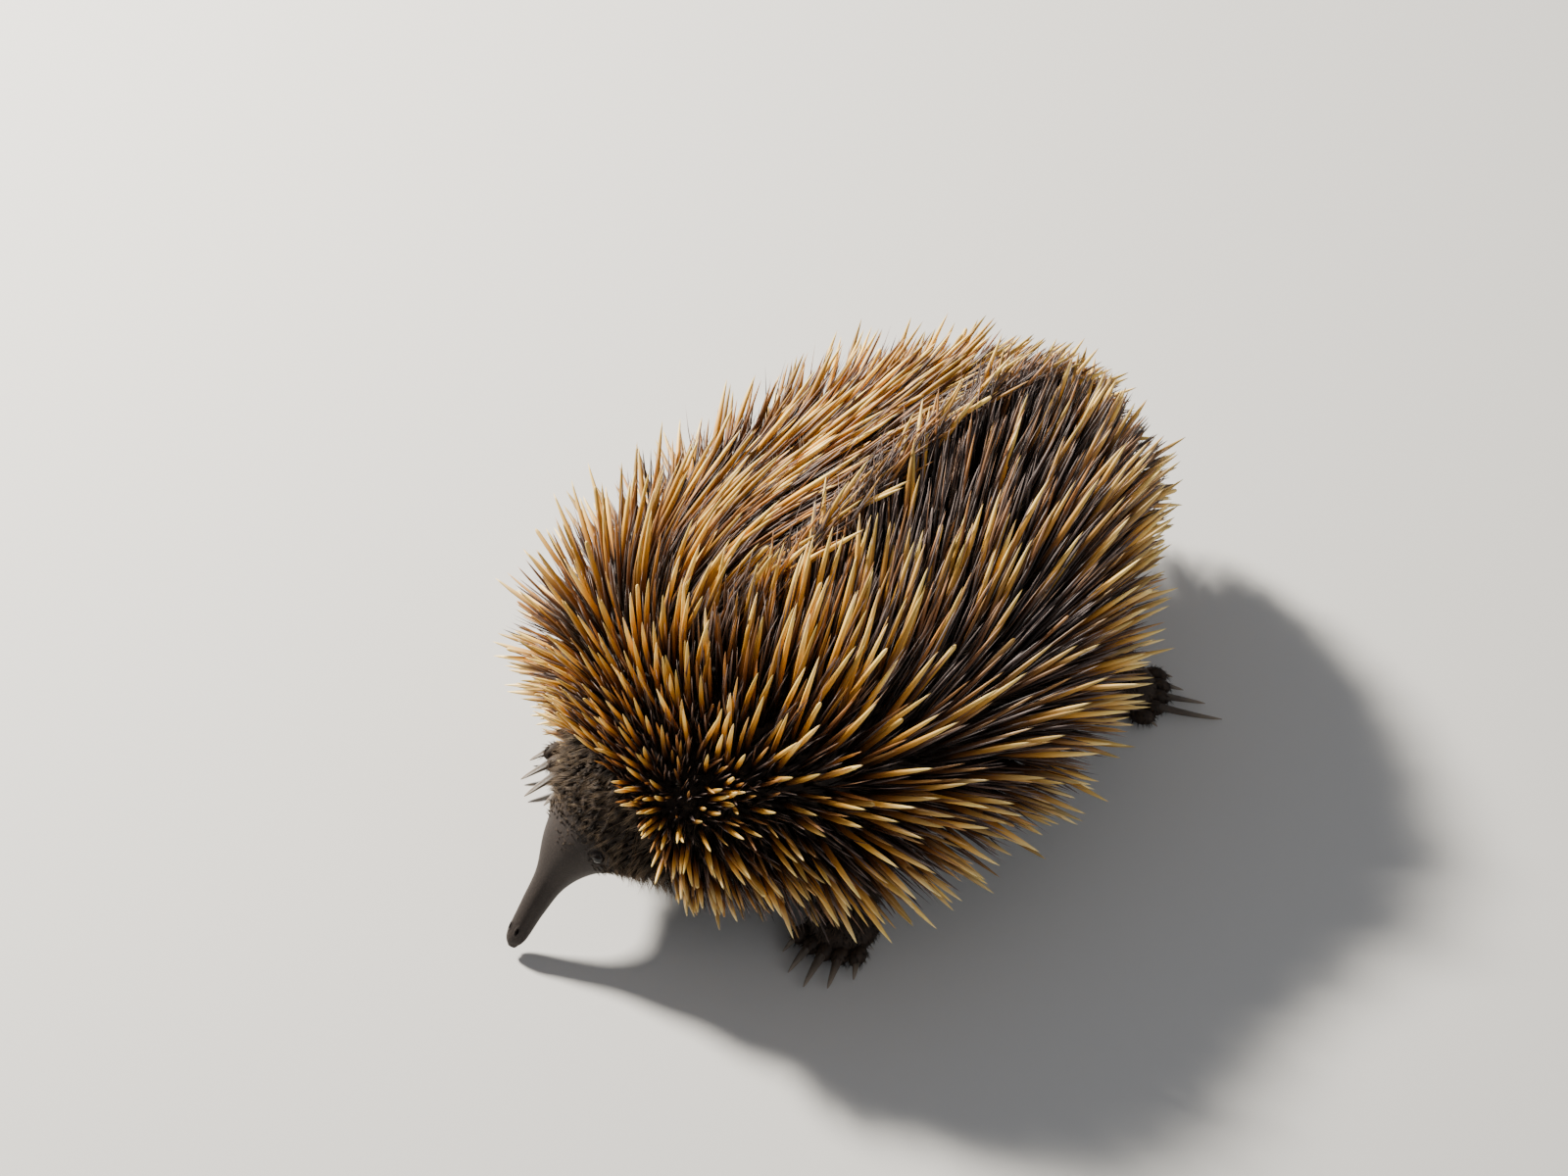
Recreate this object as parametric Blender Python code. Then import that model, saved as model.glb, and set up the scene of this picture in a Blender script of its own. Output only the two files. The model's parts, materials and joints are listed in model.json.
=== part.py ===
"""Short-beaked echidna at life size, standing still with its head lowered to feed.

Every size and place below is in millimetres, and the meshes are made in metres.
The animal faces -Y, its left side is +X, and its soles stand on Z = 0.
"""
import math
import random

import bmesh
import bpy
import numpy as np
from mathutils import Matrix, Vector
from mathutils.bvhtree import BVHTree

MM = 0.001
GAP = 0.3
CUTTER_GROWTH = 0.4
SEED = 27

# Body stations, from the beak's end to the tail's end.
# Each has its centre (across, along, up), then half width, height above and depth below.
STATIONS = {
    "beak_end": (-24.0, -198.0, 5.2, 2.2, 2.2, 2.0),
    "beak_tip": (-24.0, -195.0, 9.0, 4.4, 4.2, 4.2),
    "beak_low": (-22.5, -186.0, 21.0, 5.4, 5.4, 5.4),
    "beak_high": (-20.5, -176.0, 33.0, 7.6, 7.4, 7.4),
    "beak_root": (-18.0, -165.0, 44.0, 16.0, 14.0, 13.5),
    "brow": (-14.0, -152.0, 51.0, 27.0, 24.0, 22.0),
    "ears": (-9.0, -137.0, 56.0, 40.0, 34.0, 29.0),
    "nape": (-4.0, -119.0, 61.0, 60.0, 45.0, 38.0),
    "neck": (-1.0, -92.0, 65.0, 80.0, 54.0, 46.0),
    "shoulders": (0.0, -52.0, 67.0, 90.0, 60.0, 50.0),
    "chest": (0.0, -10.0, 69.0, 93.0, 63.0, 53.0),
    "middle": (0.0, 35.0, 71.0, 82.0, 67.0, 54.0),
    "loin": (0.0, 78.0, 72.0, 62.0, 61.0, 50.0),
    "rump": (0.0, 106.0, 70.0, 49.0, 50.0, 44.0),
    "tail_root": (0.0, 127.0, 65.0, 35.0, 36.0, 33.0),
    "tail_middle": (0.0, 141.0, 59.0, 22.0, 22.0, 21.0),
    "tail_end": (0.0, 152.0, 53.0, 9.0, 9.0, 9.0),
}
ROWS = np.array(list(STATIONS.values()))
PLACE = {name: index for index, name in enumerate(STATIONS)}
SQUARENESS = 2.2

# Where one length of the body ends and the next begins, with sides and rings of each.
# The spiny lengths have the same number of sides, so that one cutter fits them all.
LENGTHS = {
    "beak": (PLACE["beak_end"], PLACE["beak_root"] - 0.3, 14, 9),
    "head": (PLACE["beak_root"] - 0.3, PLACE["ears"], 24, 8),
    "neck": (PLACE["ears"], PLACE["neck"] + 0.4, 32, 8),
    "torso_front": (PLACE["neck"] + 0.4, PLACE["chest"] + 0.7, 32, 9),
    "torso_rear": (PLACE["chest"] + 0.7, PLACE["rump"] + 0.3, 32, 9),
    "tail": (PLACE["rump"] + 0.3, PLACE["tail_end"], 32, 7),
}
SPINY = ("neck", "torso_front", "torso_rear", "tail")

# Spines: length as a share of the full one and half thickness of each kind, and how common each is
SPINE_KINDS = ((1.0, 1.9), (0.94, 1.55), (0.85, 1.2))
SPINE_SHARES = (4, 4, 2)
NAPE_SPINE, BACK_SPINE, TAIL_SPINE = 21.0, 46.0, 30.0
LOW_SHORTER = 0.12
LENGTH_RANGE = (0.88, 1.08)
SPINE_SPACING = 10.0
SPINE_TRIES = 14000
SPINE_SCATTER = 0.07
SPINE_BEND = 0.12
SPINE_BELLY = 0.42
SPINE_FOOT = 0.75
SPINE_SUNK = 3.5
SAME_NODE_SHARE = 0.75
TIP_ABOVE_FLOOR = 6.0
# How far spines lean off the skin's normal: backwards at the nape, and how much more further on,
# how much less of that low on the flank in front and behind, over the midline, outwards low in front,
# upwards on the rear flank, with the share of that lost at its lower edge, and the share of the
# backward lean lost on the tail
LEAN_START = 0.2
LEAN_BACK = 1.15
LOW_UPRIGHT = (0.78, 0.2)
LEAN_OVER = 1.1
LEAN_OUT = 0.35
LEAN_UP = 1.1
FRINGE_LOWER = 0.75
TAIL_RAISED = 0.55
# Where along the body, and how far round it in degrees, the lie of the spines changes
SPINE_EDGE = 112.0
RUFF = (-140.0, -92.0)
TAPER = (40.0, 140.0)
SWEEP = (-125.0, -30.0)
TAILWARDS = (80.0, 145.0)
FLANK_TURNS = (-30.0, 60.0)
SEAM_EDGE = (0.0, 9.0)
LOW_EDGE = (50.0, 98.0)
FLANK_EDGE = (72.0, 112.0)
SHOULDER_EDGE = (40.0, 88.0)
RAISED_EDGE = (35.0, 75.0)
FRINGE_EDGE = (85.0, 112.0)

# Head features
EYE_RADIUS = 3.3
EYE_PLACE = (PLACE["beak_root"] + 0.42, 66.0)
EYE_SUNK = 1.2
LID_THICKNESS = 1.1
LID_CLEAR = 0.9
LID_SUNK = 0.2
EAR_PLACE = (PLACE["ears"] - 0.38, 92.0)
EAR_SLIT = (8.0, 2.4, 5.0)
EAR_OPEN = 1.0
EAR_RIM = 1.5
MOUTH_SLIT = (14.0, 9.0, 0.7)
MOUTH_BELOW = 1.3
MOUTH_BACK = 2.5
NOSTRIL = (1.0, 2.4, 1.2)
NOSTRIL_APART = 2.2
NOSTRIL_PLACE = PLACE["beak_tip"] + 0.25

# Legs: path and radii of the left one, from inside the body to the ankle
ANKLE = 13.5
LEGS = {
    "front": (((50, -64, 48), (63, -75, 33), (70, -86, 22), (72, -92, 8)), (22, 18, 14.5, 12.5)),
    "hind": (((46, 70, 50), (60, 78, 35), (67, 85, 23), (69, 88, 8)), (24, 20, 15, 12.5)),
}
# Feet: centre, radii, and the heading of the toes away from -Y, outwards
FEET = {
    "front": ((73.0, -95.0, 6.0), (16.5, 17.0, 11.0), 14.0),
    "hind": ((72.0, 91.0, 6.0), (16.5, 18.0, 11.0), 118.0),
}
TOE_STEP = 6.0
TOE_FAN = 9.0
# Claws from the inner toe to the outer one: length, half width, half height, sideways curl
CLAWS = {
    "front": ((11, 2.2, 1.6, 0), (17, 2.5, 1.8, 0), (20, 2.6, 1.9, 0), (17, 2.5, 1.8, 0), (11, 2.2, 1.6, 0)),
    "hind": ((7, 1.9, 1.6, 4), (31, 2.2, 1.9, 26), (21, 2.1, 1.8, 18), (11, 2.0, 1.6, 8), (8, 1.9, 1.6, 4)),
}
CLAW_TIP_HEIGHT = 2.0
CLAW_ROOTED = 5.0
CLAW_PIECES = 4
CLAW_TAPER = 0.78
TOES_INSET = 3.0

# Materials: colour, roughness
FINISHES = {
    "spines": ((0.55, 0.33, 0.13, 1.0), 0.5),
    "fur": ((0.07, 0.05, 0.035, 1.0), 0.85),
    "bare_skin": ((0.06, 0.05, 0.05, 1.0), 0.6),
    "eye": ((0.01, 0.008, 0.006, 1.0), 0.1),
    "claw": ((0.11, 0.09, 0.07, 1.0), 0.45),
}


def smooth(low, high, value):
    """Rises from 0 at low to 1 at high, level at both ends."""
    part = min(max((value - low) / (high - low), 0.0), 1.0)
    return part * part * (3 - 2 * part)


def spline(rows, t):
    """Catmull-Rom curve through rows, which it meets at whole values of t."""
    last = len(rows) - 1
    start = min(max(int(math.floor(t)), 0), last - 1)
    part = t - start
    p0, p1, p2, p3 = (rows[min(max(start + step, 0), last)] for step in (-1, 0, 1, 2))
    return 0.5 * (2 * p1 + (p2 - p0) * part + (2 * p0 - 5 * p1 + 4 * p2 - p3) * part ** 2
                  + (3 * p1 - p0 - 3 * p2 + p3) * part ** 3)


def axes_at(t):
    """The body's own directions at t: towards the tail, to the left, and up."""
    along = (spline(ROWS, t + 0.05) - spline(ROWS, t - 0.05))[:3]
    along /= np.linalg.norm(along)
    left = np.cross(along, (0.0, 0.0, 1.0))
    left /= np.linalg.norm(left)
    return along, left, np.cross(left, along)


def skin(t, turn, grow=0.0):
    """A point of the skin, where turn runs from 0 on the back to +-180 degrees on the belly."""
    row = spline(ROWS, t)
    _, left, up = axes_at(t)
    cosine, sine = math.cos(turn), math.sin(turn)
    power = 2 / SQUARENESS
    side = (row[3] + grow) * math.copysign(abs(sine) ** power, sine)
    reach = (row[4] if cosine > 0 else row[5]) + grow
    return row[:3] + left * side + up * reach * math.copysign(abs(cosine) ** power, cosine)


def skin_normal(t, turn):
    """Outward direction of the skin."""
    step = 0.02
    lengthwise = skin(t + step, turn) - skin(t - step, turn)
    around = skin(t, turn + step) - skin(t, turn - step)
    out = np.cross(lengthwise, around)
    out /= np.linalg.norm(out)
    return out if out @ (skin(t, turn) - spline(ROWS, t)[:3]) > 0 else -out


def spine_length(t, turn):
    """Length of a full spine: short on the nape and tail, long on the back and flanks."""
    along = spline(ROWS, t)[1]
    grown = smooth(*RUFF, along)
    ends = smooth(*TAPER, along)
    low = smooth(*FLANK_EDGE, abs(math.degrees(turn)))
    full = NAPE_SPINE + (BACK_SPINE - NAPE_SPINE) * grown - (BACK_SPINE - TAIL_SPINE) * ends
    return full * (1 - LOW_SHORTER * low)


def spine_lie(t, turn):
    """The way spines point: out at the front, then swept back, over the midline and up the flanks."""
    along = spline(ROWS, t)[1]
    back, left, up = axes_at(t)
    swept = smooth(*SWEEP, along)
    rear = smooth(*FLANK_TURNS, along)
    ends = smooth(*TAILWARDS, along)
    angle = abs(math.degrees(turn))
    low = smooth(*LOW_EDGE, angle)
    upright = LOW_UPRIGHT[0] + (LOW_UPRIGHT[1] - LOW_UPRIGHT[0]) * rear
    high = smooth(*SEAM_EDGE, angle) * (1 - smooth(*SHOULDER_EDGE, angle))
    lean_back = (LEAN_START + LEAN_BACK * swept) * (1 - upright * low) * (1 - TAIL_RAISED * ends)
    lean_in = LEAN_OVER * swept * high - LEAN_OUT * low * (1 - rear)
    raised = smooth(*RAISED_EDGE, angle) * (1 - FRINGE_LOWER * smooth(*FRINGE_EDGE, angle))
    lean_up = LEAN_UP * rear * (1 - ends) * raised
    way = skin_normal(t, turn) + back * lean_back - math.copysign(1, turn) * left * lean_in + up * lean_up
    return way / np.linalg.norm(way)


def add_object(name, bm, finish=None):
    """Puts a bmesh made in millimetres in the scene as a closed object in metres."""
    bmesh.ops.recalc_face_normals(bm, faces=bm.faces)
    bmesh.ops.scale(bm, vec=(MM, MM, MM), verts=bm.verts)
    mesh = bpy.data.meshes.new(name)
    bm.to_mesh(mesh)
    bm.free()
    obj = bpy.data.objects.new(name, mesh)
    if finish:
        animal.objects.link(obj)
        mesh.materials.append(finish_material(name, finish))
    else:
        guides.objects.link(obj)
        obj.hide_render = True
        obj.display_type = "WIRE"
    return obj


def finish_material(name, finish):
    """A material of its own for each node."""
    colour, roughness = FINISHES[finish]
    material = bpy.data.materials.new(name + "_" + finish)
    material.use_nodes = True
    shader = material.node_tree.nodes["Principled BSDF"]
    shader.inputs["Base Color"].default_value = colour
    shader.inputs["Roughness"].default_value = roughness
    shader.inputs["Metallic"].default_value = 0.0
    return material


def loft(rings):
    """Skins a list of rings with triangles, which split alike on lofts alike, and closes both ends."""
    bm = bmesh.new()
    rows = [[bm.verts.new(point) for point in ring] for ring in rings]
    count = len(rows[0])
    for first, second in zip(rows, rows[1:]):
        for i in range(count):
            j = (i + 1) % count
            bm.faces.new((first[i], first[j], second[j]))
            bm.faces.new((first[i], second[j], second[i]))
    bm.faces.new(rows[0])
    bm.faces.new(list(reversed(rows[-1])))
    return bm


def body_ring(t, sides, grow=0.0, shift=0.0):
    """One ring round the body, moved by shift towards the tail."""
    turns = [2 * math.pi * i / sides for i in range(sides)]
    turns = [turn if turn <= math.pi else turn - 2 * math.pi for turn in turns]
    return [skin(t, turn, grow) + axes_at(t)[0] * shift for turn in turns]


def body_rings(start, end, sides, rings):
    """Rings of one length of the body, drawn in by half the gap at both ends."""
    shifts = [GAP / 2] + [0.0] * (rings - 2) + [-GAP / 2]
    return [body_ring(t, sides, 0.0, shift) for t, shift in zip(np.linspace(start, end, rings), shifts)]


def tube(path, sizes, sides, rings, reference):
    """A bent tube through path, where sizes holds one half width and half height a point.

    Its width lies square to reference, which the path never runs along.
    """
    rows = np.array([tuple(point) + tuple(size) for point, size in zip(path, sizes)], float)
    result = []
    for t in np.linspace(0, len(rows) - 1, rings):
        row = spline(rows, t)
        along = (spline(rows, t + 0.05) - spline(rows, t - 0.05))[:3]
        along /= np.linalg.norm(along)
        across = np.cross(along, reference)
        across /= np.linalg.norm(across)
        over = np.cross(across, along)
        result.append([row[:3] + across * row[3] * math.cos(a) + over * row[4] * math.sin(a)
                       for a in (2 * math.pi * i / sides for i in range(sides))])
    return loft(result)


def ball(centre, radii, heading=None, segments=16, rings=10):
    """An ellipsoid, whose own axes are the columns of heading."""
    bm = bmesh.new()
    bmesh.ops.create_uvsphere(bm, u_segments=segments, v_segments=rings, radius=1.0)
    bmesh.ops.scale(bm, vec=radii, verts=bm.verts)
    matrix = Matrix.Translation(Vector(centre)) @ (heading or Matrix()).to_4x4()
    bmesh.ops.transform(bm, matrix=matrix, verts=bm.verts)
    return bm


def ring_tube(radius_x, radius_y, thickness, centre, heading, segments=14, sides=5):
    """A closed oval ring lying across its heading's third axis."""
    bm = bmesh.new()
    rows = []
    for i in range(segments):
        angle = 2 * math.pi * i / segments
        out = Vector((math.cos(angle), math.sin(angle), 0))
        mid = Vector((radius_x * math.cos(angle), radius_y * math.sin(angle), 0))
        rows.append([bm.verts.new(mid + thickness * (out * math.cos(a) + Vector((0, 0, math.sin(a)))))
                     for a in (2 * math.pi * j / sides for j in range(sides))])
    for i in range(segments):
        for j in range(sides):
            k, m = (i + 1) % segments, (j + 1) % sides
            bm.faces.new((rows[i][j], rows[k][j], rows[k][m], rows[i][m]))
    matrix = Matrix.Translation(Vector(centre)) @ heading.to_4x4()
    bmesh.ops.transform(bm, matrix=matrix, verts=bm.verts)
    return bm


def facing(t, turn):
    """Axes on the skin at a place: around the body, towards the tail, and outwards."""
    out = Vector(skin_normal(t, turn))
    back = Vector(axes_at(t)[0])
    back = (back - out * back.dot(out)).normalized()
    return Matrix((back.cross(out), back, out)).transposed()


def join_or_cut(target, other, operation, solver="EXACT"):
    """Applies one Boolean of another object, or of a collection's objects, to target."""
    modifier = target.modifiers.new(operation.lower(), "BOOLEAN")
    modifier.operation = operation
    modifier.solver = solver
    if isinstance(other, bpy.types.Collection):
        modifier.operand_type = "COLLECTION"
        modifier.collection = other
    else:
        modifier.object = other
    depsgraph = bpy.context.evaluated_depsgraph_get()
    mesh = bpy.data.meshes.new_from_object(target.evaluated_get(depsgraph))
    target.modifiers.clear()
    target.data = mesh
    keep_largest(target)


def enclosed(faces):
    """The volume that a closed set of faces holds."""
    return sum(face.normal.dot(face.calc_center_median()) * face.calc_area() for face in faces) / 3


def keep_largest(obj):
    """Leaves only the largest closed surface of an object."""
    bm = bmesh.new()
    bm.from_mesh(obj.data)
    left = set(bm.faces)
    islands = []
    while left:
        seed = left.pop()
        island, edge_of = {seed}, [seed]
        while edge_of:
            for edge in edge_of.pop().edges:
                for face in edge.link_faces:
                    if face in left:
                        left.discard(face)
                        island.add(face)
                        edge_of.append(face)
        islands.append(island)
    largest = max(islands, key=lambda faces: abs(enclosed(faces)))
    scraps = [face for island in islands if island is not largest for face in island]
    bmesh.ops.delete(bm, geom=scraps, context="FACES")
    bm.to_mesh(obj.data)
    bm.free()


def make_body():
    """The lengths of the body, parted by thin flat gaps."""
    for name, (start, end, sides, rings) in LENGTHS.items():
        finish = "spines" if name in SPINY else "bare_skin" if name == "beak" else "fur"
        add_object(name, loft(body_rings(start, end, sides, rings)), finish)


def make_beak_details(beak):
    """The slit of the mouth at the beak's end and two nostrils above it."""
    tip = PLACE["beak_end"]
    along, left, up = axes_at(tip + 0.5)
    slit = bmesh.new()
    bmesh.ops.create_cube(slit, size=1.0)
    bmesh.ops.scale(slit, vec=MOUTH_SLIT, verts=slit.verts)
    centre = spline(ROWS, tip)[:3] + along * MOUTH_BACK - up * MOUTH_BELOW
    frame = Matrix((Vector(left), Vector(along), Vector(up))).transposed().to_4x4()
    bmesh.ops.transform(slit, matrix=Matrix.Translation(Vector(centre)) @ frame, verts=slit.verts)
    join_or_cut(beak, add_object("cut_mouth", slit), "DIFFERENCE")
    for side in (-1, 1):
        turn = side * math.asin(NOSTRIL_APART / spline(ROWS, NOSTRIL_PLACE)[3])
        hole = ball(skin(NOSTRIL_PLACE, turn), NOSTRIL, facing(NOSTRIL_PLACE, turn), 10, 6)
        join_or_cut(beak, add_object("cut_nostril", hole), "DIFFERENCE")


def make_eyes_and_ears(head):
    """Lids round a socket for each eye, the eyes themselves, and an ear slit on each side."""
    for side, name in ((1, "left"), (-1, "right")):
        t, turn = EYE_PLACE[0], side * math.radians(EYE_PLACE[1])
        heading = facing(t, turn)
        out = np.array(heading.col[2])
        centre = skin(t, turn) - out * EYE_SUNK
        opening = EYE_RADIUS + LID_CLEAR
        lid = ring_tube(opening, opening, LID_THICKNESS, skin(t, turn) - out * LID_SUNK, heading)
        join_or_cut(head, add_object("lid_" + name, lid), "UNION")
        socket = ball(centre, [EYE_RADIUS + GAP] * 3, None, 14, 8)
        join_or_cut(head, add_object("socket_" + name, socket), "DIFFERENCE")
        add_object("eye_" + name, ball(centre, [EYE_RADIUS] * 3, None, 14, 8), "eye")

        t, turn = EAR_PLACE[0], side * math.radians(EAR_PLACE[1])
        heading = facing(t, turn)
        place = skin(t, turn)
        rim = ring_tube(EAR_SLIT[0], EAR_SLIT[1] + EAR_OPEN, EAR_RIM, place, heading)
        join_or_cut(head, add_object("ear_rim_" + name, rim), "UNION")
        cup = ball(place, EAR_SLIT, heading, 14, 7)
        join_or_cut(head, add_object("ear_cup_" + name, cup), "DIFFERENCE")


def shape_tree(objects):
    """A search tree over the faces of some objects, in millimetres."""
    points, faces = [], []
    for obj in objects:
        first = len(points)
        points += [vertex.co / MM for vertex in obj.data.vertices]
        faces += [[first + i for i in polygon.vertices] for polygon in obj.data.polygons]
    return BVHTree.FromPolygons(points, faces)


def distances(starts, ends, start, end):
    """Shortest distance from one straight piece, start to end, to each of many."""
    d1, d2, r = end - start, ends - starts, start - starts
    a, e, f = d1 @ d1, (d2 * d2).sum(axis=1), (d2 * r).sum(axis=1)
    b, c = d2 @ d1, r @ d1
    near = np.clip((b * f - c * e) / np.maximum(a * e - b * b, 1e-9), 0, 1)
    far = np.clip((b * near + f) / e, 0, 1)
    near = np.clip((b * far - c) / a, 0, 1)
    apart = start + near[:, None] * d1 - starts - far[:, None] * d2
    return np.sqrt((apart * apart).sum(axis=1))


class Coat:
    """All spines planted so far, and the test that keeps a new one clear of them."""

    def __init__(self):
        self.roots = np.empty((0, 3))
        self.starts = np.empty((0, 3))
        self.ends = np.empty((0, 3))
        self.thick = np.empty(0)
        self.owner = np.empty(0, int)

    def has_room(self, root):
        return not len(self.roots) or ((self.roots - root) ** 2).sum(axis=1).min() > SPINE_SPACING ** 2

    def is_clear(self, path, half_width, owner):
        if not len(self.starts):
            return True
        needed = np.where(self.owner == owner, SAME_NODE_SHARE * (self.thick + half_width),
                          self.thick + half_width + GAP)
        return all((distances(self.starts, self.ends, path[i], path[i + 1]) > needed).all() for i in (0, 1))

    def add(self, root, path, half_width, owner):
        self.roots = np.vstack((self.roots, root))
        self.starts = np.vstack((self.starts, path[:-1]))
        self.ends = np.vstack((self.ends, path[1:]))
        self.thick = np.append(self.thick, [half_width] * 2)
        self.owner = np.append(self.owner, [owner] * 2)


def spine_path(t, turn, kind, draw):
    """Sunk root, thickest place and tip of one spine."""
    length, _ = SPINE_KINDS[kind]
    length *= spine_length(t, turn) * draw.uniform(*LENGTH_RANGE)
    way = spine_lie(t, turn) + np.array([draw.gauss(0, SPINE_SCATTER) for _ in range(3)])
    way /= np.linalg.norm(way)
    root = skin(t, turn)
    bent = way + axes_at(t)[0] * SPINE_BEND
    thickest = root + way * length * SPINE_BELLY
    tip = thickest + bent / np.linalg.norm(bent) * length * (1 - SPINE_BELLY)
    return np.array([root - skin_normal(t, turn) * SPINE_SUNK, thickest, tip])


def stands_free(path, half_width, others, own):
    """Whether a spine clears the other pieces, the floor and the skin beyond its root."""
    if path[2][2] < TIP_ABOVE_FLOOR:
        return False
    for part in np.linspace(0, 2, 15):
        first = min(int(part), 1)
        place = Vector(path[first] + (path[first + 1] - path[first]) * (part - first))
        if others.find_nearest(place, half_width + GAP)[0]:
            return False
        if part > 0.9 and own.find_nearest(place, half_width + GAP)[0]:
            return False
    return True


def spine_mesh(path, half_width):
    """A four-sided spine, thickest below its middle and pointed."""
    axis = Vector(path[1] - path[0]).normalized()
    across = axis.orthogonal().normalized()
    over = axis.cross(across)
    bm = bmesh.new()
    rows = [[bm.verts.new(Vector(centre) + (across * math.cos(a) + over * math.sin(a)) * half_width * width)
             for a in (math.pi / 2 * i for i in range(4))]
            for centre, width in ((path[0], SPINE_FOOT), (path[1], 1.0))]
    tip = bm.verts.new(path[2])
    bm.faces.new(rows[0])
    for i in range(4):
        j = (i + 1) % 4
        bm.faces.new((rows[0][i], rows[0][j], rows[1][j], rows[1][i]))
        bm.faces.new((rows[1][i], rows[1][j], tip))
    return bm


def make_spines():
    """Plants spines evenly over the back and flanks and fuses them with the length they grow from."""
    draw = random.Random(SEED)
    coat = Coat()
    groups = {}
    for name in SPINY:
        others = shape_tree(obj for obj in animal.objects if obj.name != name)
        own = shape_tree([animal.objects[name]])
        groups[name] = (bpy.data.collections.new("spines_" + name), others, own)
    for _ in range(SPINE_TRIES):
        t = draw.uniform(LENGTHS[SPINY[0]][0], LENGTHS[SPINY[-1]][1])
        turn = math.radians(draw.uniform(-SPINE_EDGE, SPINE_EDGE))
        if not coat.has_room(skin(t, turn)):
            continue
        name = next(name for name in SPINY if t <= LENGTHS[name][1])
        collection, others, own = groups[name]
        kind = draw.choices(range(len(SPINE_KINDS)), SPINE_SHARES)[0]
        half_width = SPINE_KINDS[kind][1]
        path = spine_path(t, turn, kind, draw)
        owner = SPINY.index(name)
        if coat.is_clear(path, half_width, owner) and stands_free(path, half_width, others, own):
            coat.add(skin(t, turn), path, half_width, owner)
            spine = add_object("spine", spine_mesh(path, half_width))
            guides.objects.unlink(spine)
            collection.objects.link(spine)
    for name, (collection, _, _) in groups.items():
        join_or_cut(animal.objects[name], collection, "UNION", "MANIFOLD")
        for spine in list(collection.objects):
            bpy.data.objects.remove(spine, do_unlink=True)
        bpy.data.collections.remove(collection)


def make_body_cutter():
    """The spiny lengths as one, grown by the gap, to cut the legs clear of them."""
    places = sorted({t for name in SPINY for t in np.linspace(*LENGTHS[name][:2], LENGTHS[name][3])})
    return add_object("cut_body", loft([body_ring(t, LENGTHS["neck"][2], CUTTER_GROWTH) for t in places]))


def heading_matrix(heading, side):
    """Turns a foot's own +X to outwards and its own -Y to the way the toes point."""
    return Matrix.Rotation(side * math.radians(heading), 3, "Z")


def make_leg(kind, side, name, cutter):
    """A leg cut clear of the body, its foot with a flat sole, and five claws."""
    path, radii = LEGS[kind]
    path = [(side * x, y, z) for x, y, z in path]
    leg = add_object(kind + "_leg_" + name, tube(path, [(r, r) for r in radii], 14, 6, (0, 1, 0)), "fur")
    join_or_cut(leg, cutter, "DIFFERENCE")
    slice_level(leg, ANKLE + GAP / 2, keep_above=True)

    centre, sizes, heading = FEET[kind]
    centre = (side * centre[0], centre[1], centre[2])
    turned = heading_matrix(heading, side)
    foot = add_object(kind + "_foot_" + name, ball(centre, sizes, turned, 16, 9), "fur")
    slice_level(foot, 0.0, keep_above=True)
    slice_level(foot, ANKLE - GAP / 2, keep_above=False)
    around = add_object("cut_foot", ball(centre, [size + CUTTER_GROWTH for size in sizes], turned, 16, 9))
    for number, claw in enumerate(CLAWS[kind], start=1):
        make_claw(kind, side, name, number, claw, Vector(centre), sizes, turned, around)


def make_claw(kind, side, name, number, claw, centre, sizes, turned, around):
    """One tapered claw growing out of the front of its foot."""
    length, half_width, half_height, curl = claw
    step = number - 3
    offset = side * step * TOE_STEP
    heading = side * step * math.radians(TOE_FAN)
    reach = sizes[1] * math.sqrt(1 - (offset / (sizes[0] + TOES_INSET)) ** 2) - CLAW_ROOTED
    stride = (length + CLAW_ROOTED) / CLAW_PIECES
    drop = (centre.z - CLAW_TIP_HEIGHT) / CLAW_PIECES ** 2
    place = Vector((offset, -reach, 0.0))
    path, widths = [], []
    for i in range(CLAW_PIECES + 1):
        path.append(centre + turned @ place)
        thin = 1 - CLAW_TAPER * (i / CLAW_PIECES) ** 1.6
        widths.append((half_width * thin, half_height * thin))
        place = place + Vector((math.sin(heading) * stride, -math.cos(heading) * stride, -drop * (2 * i + 1)))
        heading += side * math.radians(curl) / CLAW_PIECES
    shape = tube(path, widths, 6, CLAW_PIECES + 1, (0, 0, 1))
    join_or_cut(add_object("%s_claw_%s_%d" % (kind, name, number), shape, "claw"), around, "DIFFERENCE")


def slice_level(obj, height, keep_above):
    """Cuts an object flat at a height and closes the cut."""
    bm = bmesh.new()
    bm.from_mesh(obj.data)
    cut = bmesh.ops.bisect_plane(bm, geom=bm.verts[:] + bm.edges[:] + bm.faces[:], dist=1e-7,
                                 plane_co=(0, 0, height * MM), plane_no=(0, 0, 1),
                                 clear_inner=keep_above, clear_outer=not keep_above)
    edges = [item for item in cut["geom_cut"] if isinstance(item, bmesh.types.BMEdge)]
    bmesh.ops.contextual_create(bm, geom=edges)
    bmesh.ops.recalc_face_normals(bm, faces=bm.faces)
    bm.to_mesh(obj.data)
    bm.free()


def stand_on_origin():
    """Moves every mesh so that the box of the whole animal stands centred on the origin."""
    corners = np.array([tuple(v.co) for obj in animal.objects for v in obj.data.vertices])
    low, high = corners.min(axis=0), corners.max(axis=0)
    shift = Matrix.Translation(Vector((-(low[0] + high[0]) / 2, -(low[1] + high[1]) / 2, -low[2])))
    for obj in animal.objects:
        obj.data.transform(shift)


for old in list(bpy.data.objects):
    bpy.data.objects.remove(old, do_unlink=True)
animal = bpy.data.collections.new("echidna")
guides = bpy.data.collections.new("cutters")
for collection in (animal, guides):
    bpy.context.scene.collection.children.link(collection)

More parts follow.
